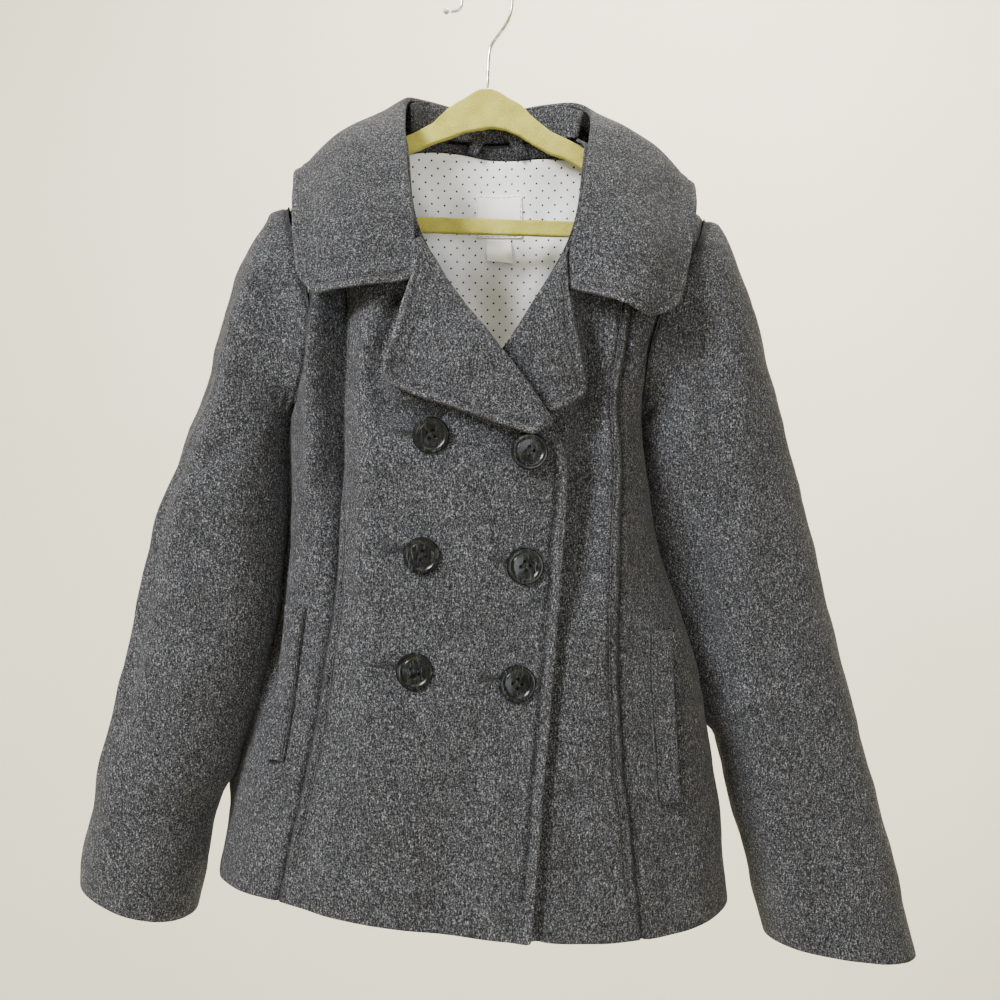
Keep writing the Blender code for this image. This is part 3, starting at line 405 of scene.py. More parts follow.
@dataclass(frozen=True)
class DottedCotton:
    """White cotton percale with small black dots, printed: smooth, thin and nearly flat."""

    name: str = "cotton_percale_dotted"
    across: float = 9.3           # mm from dot to dot along a row
    rows: float = 5.2             # mm from row to row, each half a step over from the last
    dot: float = 1.55             # mm across
    bleed: float = 0.12           # mm, how soft a dot's edge is
    patch: float = 30.0           # mm, slow changes of the white
    ground: str = "#F7F9FE"
    shade: str = "#E2E4EA"
    ink: str = "#1D1D22"
    weave: float = 0.6            # mm a thread pair, coarser than real so that it shows

    def lattice(self, material: Material, place: Socket,
                shift: tuple[float, float]) -> Socket:
        """The distance in millimetres to the nearest point of one rectangular lattice.

        Args:
            material: The material it is for.
            place: Object coordinates, in metres.
            shift: The lattice's start along X and Z, in steps.

        Returns:
            The distance's socket.
        """
        step = (self.across * MM, 1.0, 2 * self.rows * MM)
        cells = add_node(material, "VectorMath", {0: place}, {1: step}, operation="DIVIDE")
        moved = add_node(material, "VectorMath", {0: cells}, {1: (shift[0], 0, shift[1])},
                         operation="ADD")
        inside = add_node(material, "VectorMath", {0: moved}, operation="FRACTION")
        centred = add_node(material, "VectorMath", {0: inside}, {1: (0.5, 0, 0.5)},
                           operation="SUBTRACT")
        flat = add_node(material, "VectorMath", {0: centred}, {1: (self.across, 0, 2 * self.rows)},
                        operation="MULTIPLY")
        return add_node(material, "VectorMath", {0: flat}, output="Value", operation="LENGTH")

    def build(self) -> Material:
        """Make the material."""
        material, place = new_material(self.name)
        one = self.lattice(material, place, (0.0, 0.0))
        other = self.lattice(material, place, (0.5, 0.5))
        near = add_node(material, "Math", {0: one, 1: other}, operation="MINIMUM")
        inked = add_node(material, "MapRange", {"Value": near},
                         {"From Min": self.dot / 2 + self.bleed, "From Max": self.dot / 2 - self.bleed})
        soft = add_node(material, "TexNoise", {"Vector": place},
                        {"Scale": per_metre(self.patch), "Detail": 2.0})
        ground = ramp(material, soft, [(0.3, self.shade), (0.7, self.ground)])
        colour = add_node(material, "Mix", {0: inked, 6: ground}, {7: linear(self.ink)},
                          output=2, data_type="RGBA")
        weave = add_node(material, "TexNoise", {"Vector": place},
                         {"Scale": per_metre(self.weave), "Detail": 1.0})
        bump = add_node(material, "Bump", {"Height": weave}, {"Strength": 0.25, "Distance": 0.1 * MM})
        return finished(material, {"Base Color": colour, "Normal": bump},
                        {"Roughness": 0.8, "Specular IOR Level": 0.3})


@dataclass(frozen=True)
class WovenTape:
    """Polyester label tape, woven with a fine rib and a slight satin shine."""

    name: str = "polyester_label_tape"
    rib: float = 0.7              # mm, coarser than real so that it shows
    high: str = "#FEFEFD"
    low: str = "#F6F5F2"

    def build(self) -> Material:
        """Make the material."""
        material, place = new_material(self.name)
        ribs = add_node(material, "TexWave", {"Vector": place},
                        {"Scale": per_metre(self.rib) / math.pi, "Distortion": 0.6, "Detail": 1.0},
                        output="Fac", bands_direction="Z")
        colour = ramp(material, ribs, [(0.0, self.low), (0.6, self.high)])
        bump = add_node(material, "Bump", {"Height": ribs}, {"Strength": 0.3, "Distance": 0.15 * MM})
        return finished(material, {"Base Color": colour, "Normal": bump},
                        {"Roughness": 0.55, "Sheen Weight": 0.2})


@dataclass(frozen=True)
class HornResin:
    """Polyester resin cast to look like dark horn: streaked, turned on a lathe and polished."""

    name: str = "horn_resin_dark"
    streak: float = 2.2           # mm across a streak
    smear: float = 6.0            # mm, patches that are less polished
    base: str = "#050608"
    grey: str = "#101316"
    pale: str = "#383F43"

    def build(self) -> Material:
        """Make the material."""
        material, place = new_material(self.name)
        laid = add_node(material, "Mapping", {"Vector": place},
                        {"Rotation": (0.2, 0.5, 0.4), "Scale": (1.0, 1.0, 0.25)})
        streaks = add_node(material, "TexNoise", {"Vector": laid},
                           {"Scale": per_metre(self.streak), "Detail": 3.0, "Roughness": 0.55,
                            "Distortion": 1.6})
        colour = ramp(material, streaks, [(0.40, self.base), (0.56, self.grey), (0.70, self.pale)])
        haze = add_node(material, "TexNoise", {"Vector": place},
                        {"Scale": per_metre(self.smear), "Detail": 4.0})
        rough = add_node(material, "MapRange", {"Value": haze},
                         {"From Min": 0.3, "From Max": 0.7, "To Min": 0.16, "To Max": 0.3})
        return finished(material, {"Base Color": colour, "Roughness": rough},
                        {"IOR": 1.54, "Specular IOR Level": 0.2, "Coat Weight": 0.05,
                         "Coat Roughness": 0.08})


@dataclass(frozen=True)
class Thread:
    """Spun polyester sewing thread: matt, with its twist just showing."""

    name: str
    colour: str
    shade: str
    twist: float = 0.5            # mm

    def build(self) -> Material:
        """Make the material."""
        material, place = new_material(self.name)
        twist = add_node(material, "TexNoise", {"Vector": place},
                         {"Scale": per_metre(self.twist), "Detail": 2.0})
        colour = ramp(material, twist, [(0.35, self.shade), (0.65, self.colour)])
        return finished(material, {"Base Color": colour}, {"Roughness": 0.85})


@dataclass(frozen=True)
class FlockedPlastic:
    """Polystyrene sprayed with short nylon flock: a soft velvet that is paler where it turns away."""

    name: str = "polystyrene_flocked_olive"
    fibre: float = 0.5            # mm
    patch: float = 14.0           # mm, where the pile is brushed another way
    high: str = "#C2BC60"
    low: str = "#918B3C"
    bloom: str = "#DEDB94"        # its sheen

    def build(self) -> Material:
        """Make the material."""
        material, place = new_material(self.name)
        pile = add_node(material, "TexNoise", {"Vector": place},
                        {"Scale": per_metre(self.fibre), "Detail": 3.0, "Roughness": 0.7})
        brushed = add_node(material, "TexNoise", {"Vector": place},
                           {"Scale": per_metre(self.patch), "Detail": 3.0})
        both = add_node(material, "Mix", {"A": pile, "B": brushed}, {"Factor": 0.2})
        colour = ramp(material, both, [(0.42, self.low), (0.56, self.high)])
        bump = add_node(material, "Bump", {"Height": pile}, {"Strength": 0.8, "Distance": 0.3 * MM})
        return finished(material, {"Base Color": colour, "Normal": bump},
                        {"Roughness": 0.95, "Specular IOR Level": 0.1, "Sheen Weight": 0.2,
                         "Sheen Roughness": 0.4, "Sheen Tint": linear(self.bloom)})


@dataclass(frozen=True)
class ChromedWire:
    """Drawn steel wire with bright chromium plate: a mirror with faint drawing marks along it."""

    name: str = "steel_wire_chromed"
    mark: float = 3.0             # mm
    colour: str = "#D2D2CF"
    wear_and_painted_light: str = "#A9A8A2"

    def build(self) -> Material:
        """Make the material."""
        material, place = new_material(self.name)
        marks = add_node(material, "TexNoise", {"Vector": place},
                         {"Scale": per_metre(self.mark), "Detail": 4.0})
        colour = ramp(material, marks, [(0.35, self.wear_and_painted_light), (0.55, self.colour)])
        rough = add_node(material, "MapRange", {"Value": marks},
                         {"From Min": 0.3, "From Max": 0.7, "To Min": 0.2, "To Max": 0.1})
        return finished(material, {"Base Color": colour, "Roughness": rough}, {"Metallic": 1.0})


@dataclass(frozen=True)
class StudioPaper:
    """Matt background paper, pale and warm, with nothing on it."""

    name: str = "background_paper"
    cloud: float = 500.0          # mm
    colour: str = "#E9E4D2"
    shade: str = "#E4DFCC"

    def build(self) -> Material:
        """Make the material."""
        material, place = new_material(self.name)
        cloud = add_node(material, "TexNoise", {"Vector": place},
                         {"Scale": per_metre(self.cloud), "Detail": 2.0})
        colour = ramp(material, cloud, [(0.3, self.shade), (0.7, self.colour)])
        return finished(material, {"Base Color": colour}, {"Roughness": 0.9})


# How the cloth hangs

@dataclass(frozen=True)
class Crease:
    """A soft trough (height below 0) or ridge along a line, as seen from one side."""

    side: Side
    path: tuple[tuple[float, float], ...]     # x and z of its points, or y and z on a left or right side
    width: float
    height: float
    fade: float = 22.0            # how far its ends take to die away

    def heights(self, points: Points, out: Points) -> Points:
        """Its height at each point.

        Args:
            points: (n, 3) places.
            out: (n, 3) ways out of the tube at them.

        Returns:
            A height for each point, faded at the crease's ends.
        """
        facing = out[:, 0] * self.side.value[0] + out[:, 1] * self.side.value[1]
        flat = points[:, [0 if self.side in (Side.FRONT, Side.BACK) else 1, 2]]
        knots = np.array(self.path, dtype=float)
        nearest = np.full(len(points), np.inf)
        along = np.zeros(len(points))
        done = 0.0
        for start, end in zip(knots, knots[1:]):
            run = end - start
            length = float(np.hypot(*run))
            share = np.clip((flat - start) @ run / length ** 2, 0, 1)
            far = np.linalg.norm(flat - start - share[:, None] * run, axis=1)
            closer = far < nearest
            nearest[closer] = far[closer]
            along[closer] = done + share[closer] * length
            done += length
        fade = smoothstep(along / self.fade) * smoothstep((done - along) / self.fade)
        return self.height * fade * np.exp(-(nearest / self.width) ** 2) * smoothstep(facing * 1.6)


@dataclass(frozen=True)
class Drape:
    """The hang of a tube of cloth round a core: its creases and its general unevenness."""

    core_top: tuple[float, float, float]
    core_low: tuple[float, float, float]
    half_width: float
    half_depth: float
    creases: tuple[Crease, ...] = ()
    uneven: tuple[tuple[float, float, int], ...] = ((70.0, 0.9, 3), (28.0, 0.35, 5), (12.0, 0.1, 9))
    # each of uneven is the size of its humps, their height and a seed
    turn: float = 0.0             # degrees that the tube's lower part is turned about its core
    shift: float = 0.0            # and how far it is moved back
    turn_from: float = -230.0     # the heights between which the turn and the shift come in
    turn_to: float = -330.0

    def away(self, points: Points) -> Points:
        """How far each point lies from the core, level."""
        top, low = np.array(self.core_top), np.array(self.core_low)
        share = np.clip((top[2] - points[:, 2]) / (top[2] - low[2]), 0, 1)[:, None]
        away = points - (top + (low - top) * share)
        away[:, 2] = 0.0
        return away

    def outward(self, points: Points) -> Points:
        """The way out from the core, level, at each point."""
        away = self.away(points) / np.array([self.half_width ** 2, self.half_depth ** 2, 1.0])
        return away / np.maximum(np.linalg.norm(away, axis=1)[:, None], 1e-9)

    def moved(self, points: Points, extra: Sequence[Crease] = ()) -> Points:
        """Move the points by the creases, the unevenness and the turn.

        Args:
            points: (n, 3) places.
            extra: Creases that only this piece has.

        Returns:
            Their new places.
        """
        out = self.outward(points)
        height = np.zeros(len(points))
        for crease in (*self.creases, *extra):
            height += crease.heights(points, out)
        for size, tall, seed in self.uneven:
            height += tall * unevenness(points, size, seed)
        moved = points + out * height[:, None]
        if self.turn:
            share = smoothstep((self.turn_from - points[:, 2]) / (self.turn_from - self.turn_to))
            angle = np.radians(self.turn) * share
            away = self.away(moved)
            moved[:, 0] += away[:, 0] * (np.cos(angle) - 1) - away[:, 1] * np.sin(angle)
            moved[:, 1] += away[:, 1] * (np.cos(angle) - 1) + away[:, 0] * np.sin(angle) + self.shift * share
        return moved


# Stitching

@dataclass(frozen=True)
class Profile:
    """The cloth's height across a line: a groove, a bead on each side of it and a lift of the whole edge,
    with painted shade in the groove and a painted highlight beside it.
    """

    groove: float = 0.0
    groove_width: float = 2.4
    bead: float = 0.0
    bead_place: float = 3.9
    bead_width: float = 3.0
    lift: float = 0.0
    lift_width: float = 15.0
    pucker: float = 0.0
    pucker_pitch: float = 7.5
    painted_highlight: float = 0.0              # painted highlight beside the line, at most 1
    painted_highlight_width: float = 5.0
    painted_groove_shade: float = 0.85         # painted shade in a groove, at most 1

    def reach(self) -> float:
        """How far from the line it is felt."""
        return max(self.groove_width if self.groove else 0.0,
                   self.bead_place + self.bead_width if self.bead else 0.0,
                   self.lift_width if self.lift else 0.0, self.painted_highlight_width if self.painted_highlight else 0.0)

    def painted_light_at(self, far: float) -> float:
        """The painted light at a distance: below 0 painted shade, above 0 painted highlight."""
        painted_light_at = self.painted_highlight * max(0.0, 1 - (far / self.painted_highlight_width) ** 2)
        if self.groove:
            painted_light_at -= self.painted_groove_shade * max(0.0, 1 - (far / self.groove_width) ** 2)
        return painted_light_at

    def height(self, far: float, along: int) -> float:
        """The height at a distance from the line, so many millimetres along it."""
        height = 0.0
        if self.lift:
            height += self.lift * max(0.0, 1 - (far / self.lift_width) ** 2) ** 2
        if self.groove:
            height -= self.groove * max(0.0, 1 - (far / self.groove_width) ** 2) ** 2
        if self.bead:
            swell = max(0.0, 1 - ((far - self.bead_place) / self.bead_width) ** 2) ** 2
            height += swell * (self.bead + self.pucker * math.sin(2 * math.pi * along / self.pucker_pitch))
        return height


# each groove below also darkens the wool's colour there, a painted shade
TOPSTITCH = Profile(groove=1.1, bead=0.6, pucker=0.15, painted_groove_shade=0.6)
EDGE_STITCH = Profile(groove=1.2, bead=0.6, pucker=0.15, painted_groove_shade=0.9)
COLLAR_STITCH = Profile(groove=0.8, bead=0.45, pucker=0.12, painted_groove_shade=0.35)
SEAM_VALLEY = Profile(groove=1.0, groove_width=2.6, painted_groove_shade=0.8)
ARMHOLE_VALLEY = Profile(groove=1.8, groove_width=5.0, painted_groove_shade=0.8)
BUTTONHOLE_SLIT = Profile(groove=0.7, groove_width=3.2, painted_groove_shade=0.7)


@dataclass(frozen=True)
class SeamLine:
    """A line an even way in from part of a piece's edge, stitched or only shaped."""

    inset: float
    keep: Callable[[Vector], bool]
    profile: Profile = TOPSTITCH
    stitched: bool = True


@dataclass
class StitchRun:
    """One row of topstitching: points a millimetre apart on the cloth, and the cloth's normals."""

    points: list[Vector]
    profile: Profile
    stitched: bool
    normals: list[Vector] = field(default_factory=list)
    slit: bool = False            # a buttonhole, edged with close stitches

    def settle(self, tree: BVHTree) -> None:
        """Lay the row on the cloth of a tree built in millimetres."""
        settled = [tree.find_nearest(point) for point in self.points]
        self.points = [found[0] for found in settled]
        self.normals = [found[1] for found in settled]


def outer_faces(build: bmesh.types.BMesh, inside: Vector) -> set[bmesh.types.BMFace]:
    """The faces of a wall's outer skin.

    Args:
        build: A closed wall of cloth.
        inside: A place that its outer skin faces away from.

    Returns:
        The faces of the smooth region that looks most away from that place.
    """
    left, best, best_score = set(build.faces), set(), -1e30
    while left:
        region, queue = set(), [left.pop()]
        while queue:
            face = queue.pop()
            region.add(face)
            for edge in face.edges:
                if len(edge.link_faces) == 2 and edge.calc_face_angle(0.0) < SHARP_TURN:
                    for other in edge.link_faces:
                        if other in left:
                            left.discard(other)
                            queue.append(other)
        score = sum(face.calc_area() * face.normal.dot((face.calc_center_median() - inside).normalized())
                    for face in region)
        if score > best_score:
            best, best_score = region, score
    return best


def edge_loops(build: bmesh.types.BMesh, skin: set[bmesh.types.BMFace]) -> list[list[bmesh.types.BMVert]]:
    """The skin's border as closed loops of points, in order."""
    border = {edge for edge in build.edges if sum(face in skin for face in edge.link_faces) == 1}
    loops = []
    while border:
        edge = border.pop()
        loop = [edge.verts[0], edge.verts[1]]
        while True:
            following = next((e for e in loop[-1].link_edges if e in border), None)
            if following is None:
                break
            border.discard(following)
            loop.append(following.other_vert(loop[-1]))
        loops.append(loop[:-1] if loop[-1] is loop[0] else loop)
    return loops


def smooth_path(knots: Sequence[Vector], step: float = 1.0) -> list[Vector]:
    """Points about a step apart on a smooth line through the knots."""
    path = []
    last = len(knots) - 1
    for i in range(last):
        a, b, c, d = (knots[max(i - 1, 0)], knots[i], knots[i + 1], knots[min(i + 2, last)])
        parts = max(1, round((c - b).length / step))
        for part in range(parts):
            s = part / parts
            path.append((b * 2 + (c - a) * s + (a * 2 - b * 5 + c * 4 - d) * s ** 2
                         + (b * 3 - a - c * 3 + d) * s ** 3) / 2)
    path.append(knots[last])
    return path


def stitch_runs(piece: Piece, inside: Vector, seam: SeamLine) -> list[StitchRun]:
    """Rows of topstitching an even way in from the chosen edges of a flat-faced piece.

    Args:
        piece: The piece before it is rounded.
        inside: A place that its outer skin faces away from.
        seam: How far in the row lies, and which stretches of the edge have it.

    Returns:
        The rows, not yet settled on the rounded piece.
    """
    build = bmesh.new()
    build.from_mesh(piece.data)
    bmesh.ops.scale(build, vec=(1 / MM,) * 3, verts=build.verts[:])
    build.normal_update()
    skin = outer_faces(build, inside)
    runs: list[StitchRun] = []
    for loop in edge_loops(build, skin):
        knots: list[tuple[Vector, Vector] | None] = []
        for i, vert in enumerate(loop):
            if not seam.keep(vert.co):
                knots.append(None)
                continue
            before = (vert.co - loop[i - 1].co).normalized()
            after = (loop[(i + 1) % len(loop)].co - vert.co).normalized()
            tangent = (before + after).normalized()
            faces = [face for face in vert.link_faces if face in skin]
            inward = sum((face.calc_center_median() - vert.co for face in faces), Vector())
            inward = (inward - tangent * inward.dot(tangent)).normalized()
            mitre = min(1.6, 1 / max(0.1, math.sqrt((1 + before.dot(after)) / 2)))
            facing = sum((face.normal for face in faces), Vector()).normalized()
            knots.append((vert.co + inward * seam.inset * mitre, facing))
        if None in knots:
            gap = knots.index(None)
            knots = knots[gap:] + knots[:gap]
        else:
            knots.append(knots[0])
        run: list[tuple[Vector, Vector]] = []
        for knot in knots + [None]:
            if knot is not None:
                run.append(knot)
                continue
            if len(run) > 1:
                path = smooth_path([place for place, _ in run])
                facings = [min(run, key=lambda spot: (spot[0] - place).length_squared)[1] for place in path]
                runs.append(StitchRun(path, seam.profile, seam.stitched, facings))
            run = []
    build.free()
    return runs


def press(points: Points, run: StitchRun, moved: Points, wear_and_painted_light: Points) -> None:
    """Shape the cloth along a settled row by its profile, and paint its shade and highlight.

    Args:
        points: (n, 3) places of the cloth before any row was pressed.
        run: The row.
        moved: The places to change.
        wear_and_painted_light: The painted shade (below 0) and painted highlight (above 0) at each place, to
            change too.
    """
    reach = run.profile.reach()
    tree = KDTree(len(run.points))
    for i, place in enumerate(run.points):
        tree.insert(place, i)
    tree.balance()
    line = np.array([tuple(place) for place in run.points])
    low, high = line.min(axis=0) - reach, line.max(axis=0) + reach
    for k in np.flatnonzero(((points > low) & (points < high)).all(axis=1)):
        _, index, far = tree.find(points[k])
        if far < reach:
            moved[k] += np.array(run.normals[index]) * run.profile.height(far, index)
            # painted shade in the groove and painted highlight beside the line, into the wool's colour
            wear_and_painted_light[k] += run.profile.painted_light_at(far)


@dataclass(frozen=True)
class StitchShape:
    """The size of one stitch that shows on top of the cloth."""

    length: float = 2.9
    pitch: int = 4                # millimetres from stitch to stitch
    radius: float = 0.3
    sink: float = 0.12            # how far its middle line lies above the pressed cloth
    sides: int = 5
    slit_gap: float = 0.3         # from a buttonhole's middle to the stitches at its edge
    slit_bite: float = 1.5        # and how long they are

    def add(self, build: bmesh.types.BMesh, start: Vector, end: Vector, normal: Vector) -> None:
        """Add one stitch, a thin spindle that dips into the cloth at both ends.

        Args:
            build: The mesh it joins, in millimetres.
            start: Where it comes up.
            end: Where it goes down.
            normal: The cloth's normal there.
        """
        run = end - start
        across = run.cross(normal).normalized()
        rings = []
        for share, width, lift in ((0.0, 0.35, -0.35), (0.2, 1.0, 0.6), (0.8, 1.0, 0.6), (1.0, 0.35, -0.35)):
            centre = start + run * share + normal * (self.sink + lift * self.radius)
            ring = []
            for k in range(self.sides):
                turn = 2 * math.pi * k / self.sides
                ring.append(build.verts.new(centre + (across * math.cos(turn) + normal * math.sin(turn))
                                            * self.radius * width))
            rings.append(ring)
        for one, two in zip(rings, rings[1:]):
            for k in range(self.sides):
                build.faces.new((one[k], one[(k + 1) % self.sides], two[(k + 1) % self.sides], two[k]))
        build.faces.new(rings[0][::-1])
        build.faces.new(rings[-1])

    def sew(self, name: str, runs: Sequence[StitchRun]) -> Piece:
        """Make all the stitches of some settled rows as one object."""
        build = bmesh.new()
        for run in runs:
            span = round(self.length)
            for i in range(1, len(run.points) - span - 1, self.pitch):
                self.add(build, run.points[i], run.points[i + span], run.normals[i + 1])
        return new_piece(name, build)

    def edge_slits(self, name: str, runs: Sequence[StitchRun]) -> Piece:
        """Make the close stitches on both sides of some buttonholes as one object."""
        build = bmesh.new()
        for run in runs:
            for place, after, normal in zip(run.points, run.points[1:], run.normals):
                across = (after - place).cross(normal).normalized()
                for side in (-1, 1):
                    start = place + across * (side * self.slit_gap)
                    self.add(build, start, start + across * (side * self.slit_bite), normal)
        return new_piece(name, build)


# The coat's cloth

@dataclass(frozen=True)
class Cut:
    """How one piece of cloth was cut and how it is dressed."""

    node: str
    flat: tuple[float, float]     # the width and length of the cloth it was cut from
    area: float                   # square millimetres of it
    levels: int = 3
    sewn_to: tuple[str, ...] = ()
    reach: float = SEAM_REACH
    seams: tuple[SeamLine, ...] = ()
    creases: tuple[Crease, ...] = ()
    slits: tuple[StitchRun, ...] = ()         # its buttonholes
    thread: str = "topstitch_thread"
    slot: str = "wool"
    held: str = "hung"
    rests_on: tuple[str, ...] = ("hanger",)


@dataclass
class Workroom:
    """Makes the cloth pieces, from the frame's nodes and a few materials."""

    frame: dict
    materials: dict[str, Material]
    stitch: StitchShape = field(default_factory=StitchShape)

    def make(self, cut: Cut, drape: Field, inside: Vector,
             ways: Callable[[Points], Points] | None = None) -> Piece:
        """Dress one cloth node.

        Args:
            cut: What it is and how it was cut.
            drape: How its points move as it hangs.
            inside: A place that its outer skin faces away from.
            ways: The way out at its seams, if the pieces on both sides are to be pressed alike.

        Returns:
            The piece, riding on the coat.
        """
        piece = copy_of_node(self.frame, cut.node)
        rows = [run for seam in cut.seams for run in stitch_runs(piece, inside, seam)] + list(cut.slits)
        spots = close_seams(piece, [self.frame["nodes"][name] for name in cut.sewn_to], cut.reach)
        subdivide(piece, cut.levels)
        points = drape(points_of(piece.data), cut.creases)
        # painted shade and highlight for the wool's colour, gathered from the seams and the rows
        wear_and_painted_light = np.zeros(len(points))
        if spots:
            places = drape(np.array([tuple(place) for place, _ in spots]), cut.creases)
            joins = StitchRun([Vector(place) for place in places],
                              ARMHOLE_VALLEY if cut.reach > SEAM_REACH else SEAM_VALLEY, False,
                              [Vector(way) for way in ways(places)] if ways else [way for _, way in spots])
            pressed = points.copy()
            press(points, joins, pressed, wear_and_painted_light)
            points = pressed
        faces = [tuple(face.vertices) for face in piece.data.polygons]
        sewn = []
        if rows:
            tree = BVHTree.FromPolygons([tuple(p) for p in points], faces)
            pressed = points.copy()
            for run in rows:
                run.points = [Vector(p) for p in drape(np.array([tuple(p) for p in run.points]), cut.creases)]
                if run.stitched or run.slit:
                    run.settle(tree)
                press(points, run, pressed, wear_and_painted_light)
            points = pressed
        set_points(piece.data, points)
        # the wool's colour is darkened by this attribute below 0, painted shade, and lightened above 0,
        # painted highlight
        attribute = piece.data.attributes.new(PAINTED_LIGHT_ATTRIBUTE, "FLOAT", "POINT")
        attribute.data.foreach_set("value", np.clip(wear_and_painted_light, -1, 1).astype(np.float32))
        rows = [run for run in rows if run.stitched or run.slit]
        if rows:
            tree = BVHTree.FromPolygons([tuple(p) for p in points], faces)
            for run in rows:
                run.settle(tree)
            sewn.append(self.stitch.sew(f"{cut.node}_topstitching", [run for run in rows if run.stitched]))
            self.dress(sewn[0], cut.thread)
        if cut.slits:
            sewn.append(self.stitch.edge_slits(f"{cut.node}_buttonholes", cut.slits))
            self.dress(sewn[1], "buttonhole_thread")
        piece.data.shade_smooth()
        self.dress(piece, cut.slot)
        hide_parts(cut.node)
        LOG.info("%s: %d faces, %d stitch rows", cut.node, len(piece.data.polygons), len(rows))
        return piece

    def dress(self, piece: Piece, material: str) -> None:
        """Give a piece its material and slot and let it ride on the coat."""
        piece.data.materials.clear()
        piece.data.materials.append(self.materials[material])
        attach(piece, "root")


TORSO_DRAPE = Drape(
    core_top=(5, -12, -150), core_low=(-10, -25, -690), half_width=160, half_depth=65,
    creases=(
        Crease(Side.FRONT, ((-107, -205), (-106, -310), (-103, -400)), 7, -12.0, 50),
        Crease(Side.FRONT, ((-143, -330), (-148, -420), (-150, -540)), 7, -6.0, 40),
        Crease(Side.FRONT, ((-97, -205), (-95, -340)), 13, -4.5, 50),
        Crease(Side.FRONT, ((-104, -340), (-102, -470)), 11, -3.4, 40),
        Crease(Side.FRONT, ((-119, -235), (-121, -390)), 6, 5.5, 30),
        Crease(Side.FRONT, ((-80, -250), (-78, -400)), 10, 2.4, 40),
        Crease(Side.FRONT, ((-62, -380), (-66, -530)), 12, -2.4, 40),
        Crease(Side.FRONT, ((0, -370), (-10, -530)), 16, 2.0, 40),
        Crease(Side.FRONT, ((-20, -560), (-36, -690)), 13, -2.8, 40),
        Crease(Side.FRONT, ((10, -540), (2, -690)), 12, 1.8, 40),
        Crease(Side.FRONT, ((-98, -545), (-112, -690)), 11, 2.2, 40),
        Crease(Side.FRONT, ((118, -370), (106, -475)), 9, -2.4, 40),
        Crease(Side.FRONT, ((60, -550), (66, -700)), 12, -2.2, 40),
        Crease(Side.FRONT, ((118, -600), (128, -700)), 9, -2.0, 40),
        Crease(Side.BACK, ((-104, -245), (-56, -350)), 14, -3.2, 40),
        Crease(Side.BACK, ((98, -245), (52, -355)), 14, -3.4, 40),
        Crease(Side.BACK, ((-40, -370), (-60, -660)), 15, 3.0, 60),
        Crease(Side.BACK, ((30, -340), (36, -670)), 15, -3.4, 60),
        Crease(Side.BACK, ((84, -390), (98, -680)), 13, 2.8, 60),
        Crease(Side.BACK, ((-110, -410), (-128, -660)), 12, -2.8, 60),
        Crease(Side.BACK, ((-70, -420), (44, -446)), 12, -1.8, 40),
        Crease(Side.LEFT, ((5, -322), (5, -610)), 28, 9.0, 30),
    ))

LEFT_SLEEVE_DRAPE = Drape(
    core_top=(-160, -10, -240), core_low=(-248, -11, -665), half_width=46, half_depth=44,
    turn=-20.0, shift=-14.0, turn_from=-308.0, turn_to=-400.0,
    creases=(
        Crease(Side.FRONT, ((-166, -210), (-182, -310), (-200, -410)), 9, 1.8),
        Crease(Side.FRONT, ((-184, -250), (-208, -400), (-240, -570)), 10, -2.4),
        Crease(Side.FRONT, ((-158, -335), (-204, -372)), 7, -1.8),
        Crease(Side.FRONT, ((-166, -412), (-218, -448)), 8, -1.5),
        Crease(Side.FRONT, ((-236, -470), (-190, -512)), 7, 1.2),
        Crease(Side.FRONT, ((-212, -480), (-262, -660)), 9, 1.7),
        Crease(Side.BACK, ((-165, -240), (-205, -480)), 11, -2.2),
        Crease(Side.BACK, ((-214, -420), (-168, -475)), 9, -1.8),
        Crease(Side.BACK, ((-220, -500), (-256, -660)), 10, 1.7),
        Crease(Side.RIGHT, ((-8, -314), (-10, -600)), 30, 9.0, 26),
    ))

RIGHT_SLEEVE_DRAPE = Drape(
    core_top=(152, -4, -240), core_low=(258, -8, -705), half_width=52, half_depth=42,
    turn=-14.0, shift=6.0, turn_from=-315.0, turn_to=-440.0,
    creases=(
        Crease(Side.FRONT, ((150, -232), (157, -350), (166, -500)), 11, -6.0, 40),
        Crease(Side.FRONT, ((134, -330), (140, -450)), 8, 2.5, 40),
        Crease(Side.FRONT, ((178, -230), (186, -350), (202, -480)), 10, 1.8),
        Crease(Side.FRONT, ((134, -345), (178, -400)), 8, -1.6),
        Crease(Side.FRONT, ((208, -430), (160, -486)), 8, -1.4),
        Crease(Side.FRONT, ((210, -480), (262, -710)), 11, -2.0),
        Crease(Side.FRONT, ((190, -500), (226, -700)), 9, 1.5),
        Crease(Side.BACK, ((160, -240), (198, -490)), 12, -2.2),
        Crease(Side.BACK, ((214, -430), (158, -495)), 9, -1.8),
        Crease(Side.BACK, ((216, -500), (258, -710)), 11, 1.7),
        Crease(Side.LEFT, ((-6, -312), (-4, -560)), 30, 15.0, 22),
    ))

# The lining hangs a little off the back, so its own creases only go inwards
LINING_DRAPE = Drape(
    core_top=TORSO_DRAPE.core_top, core_low=TORSO_DRAPE.core_low, half_width=TORSO_DRAPE.half_width,
    half_depth=TORSO_DRAPE.half_depth, uneven=TORSO_DRAPE.uneven,
    creases=(
        *TORSO_DRAPE.creases,
        Crease(Side.BACK, ((-60, -130), (-30, -205), (-2, -290)), 8, -4.0),
        Crease(Side.BACK, ((66, -150), (34, -230), (16, -290)), 7, -3.6),
        Crease(Side.BACK, ((-40, -150), (-52, -230)), 6, -3.0),
        Crease(Side.BACK, ((-16, -140), (2, -190)), 6, -2.4),
        Crease(Side.BACK, ((20, -140), (48, -205)), 7, -3.0),
        Crease(Side.BACK, ((-24, -250), (22, -310)), 6, -2.6),
        Crease(Side.BACK, ((-90, -380), (60, -420)), 12, -1.8),
    ))


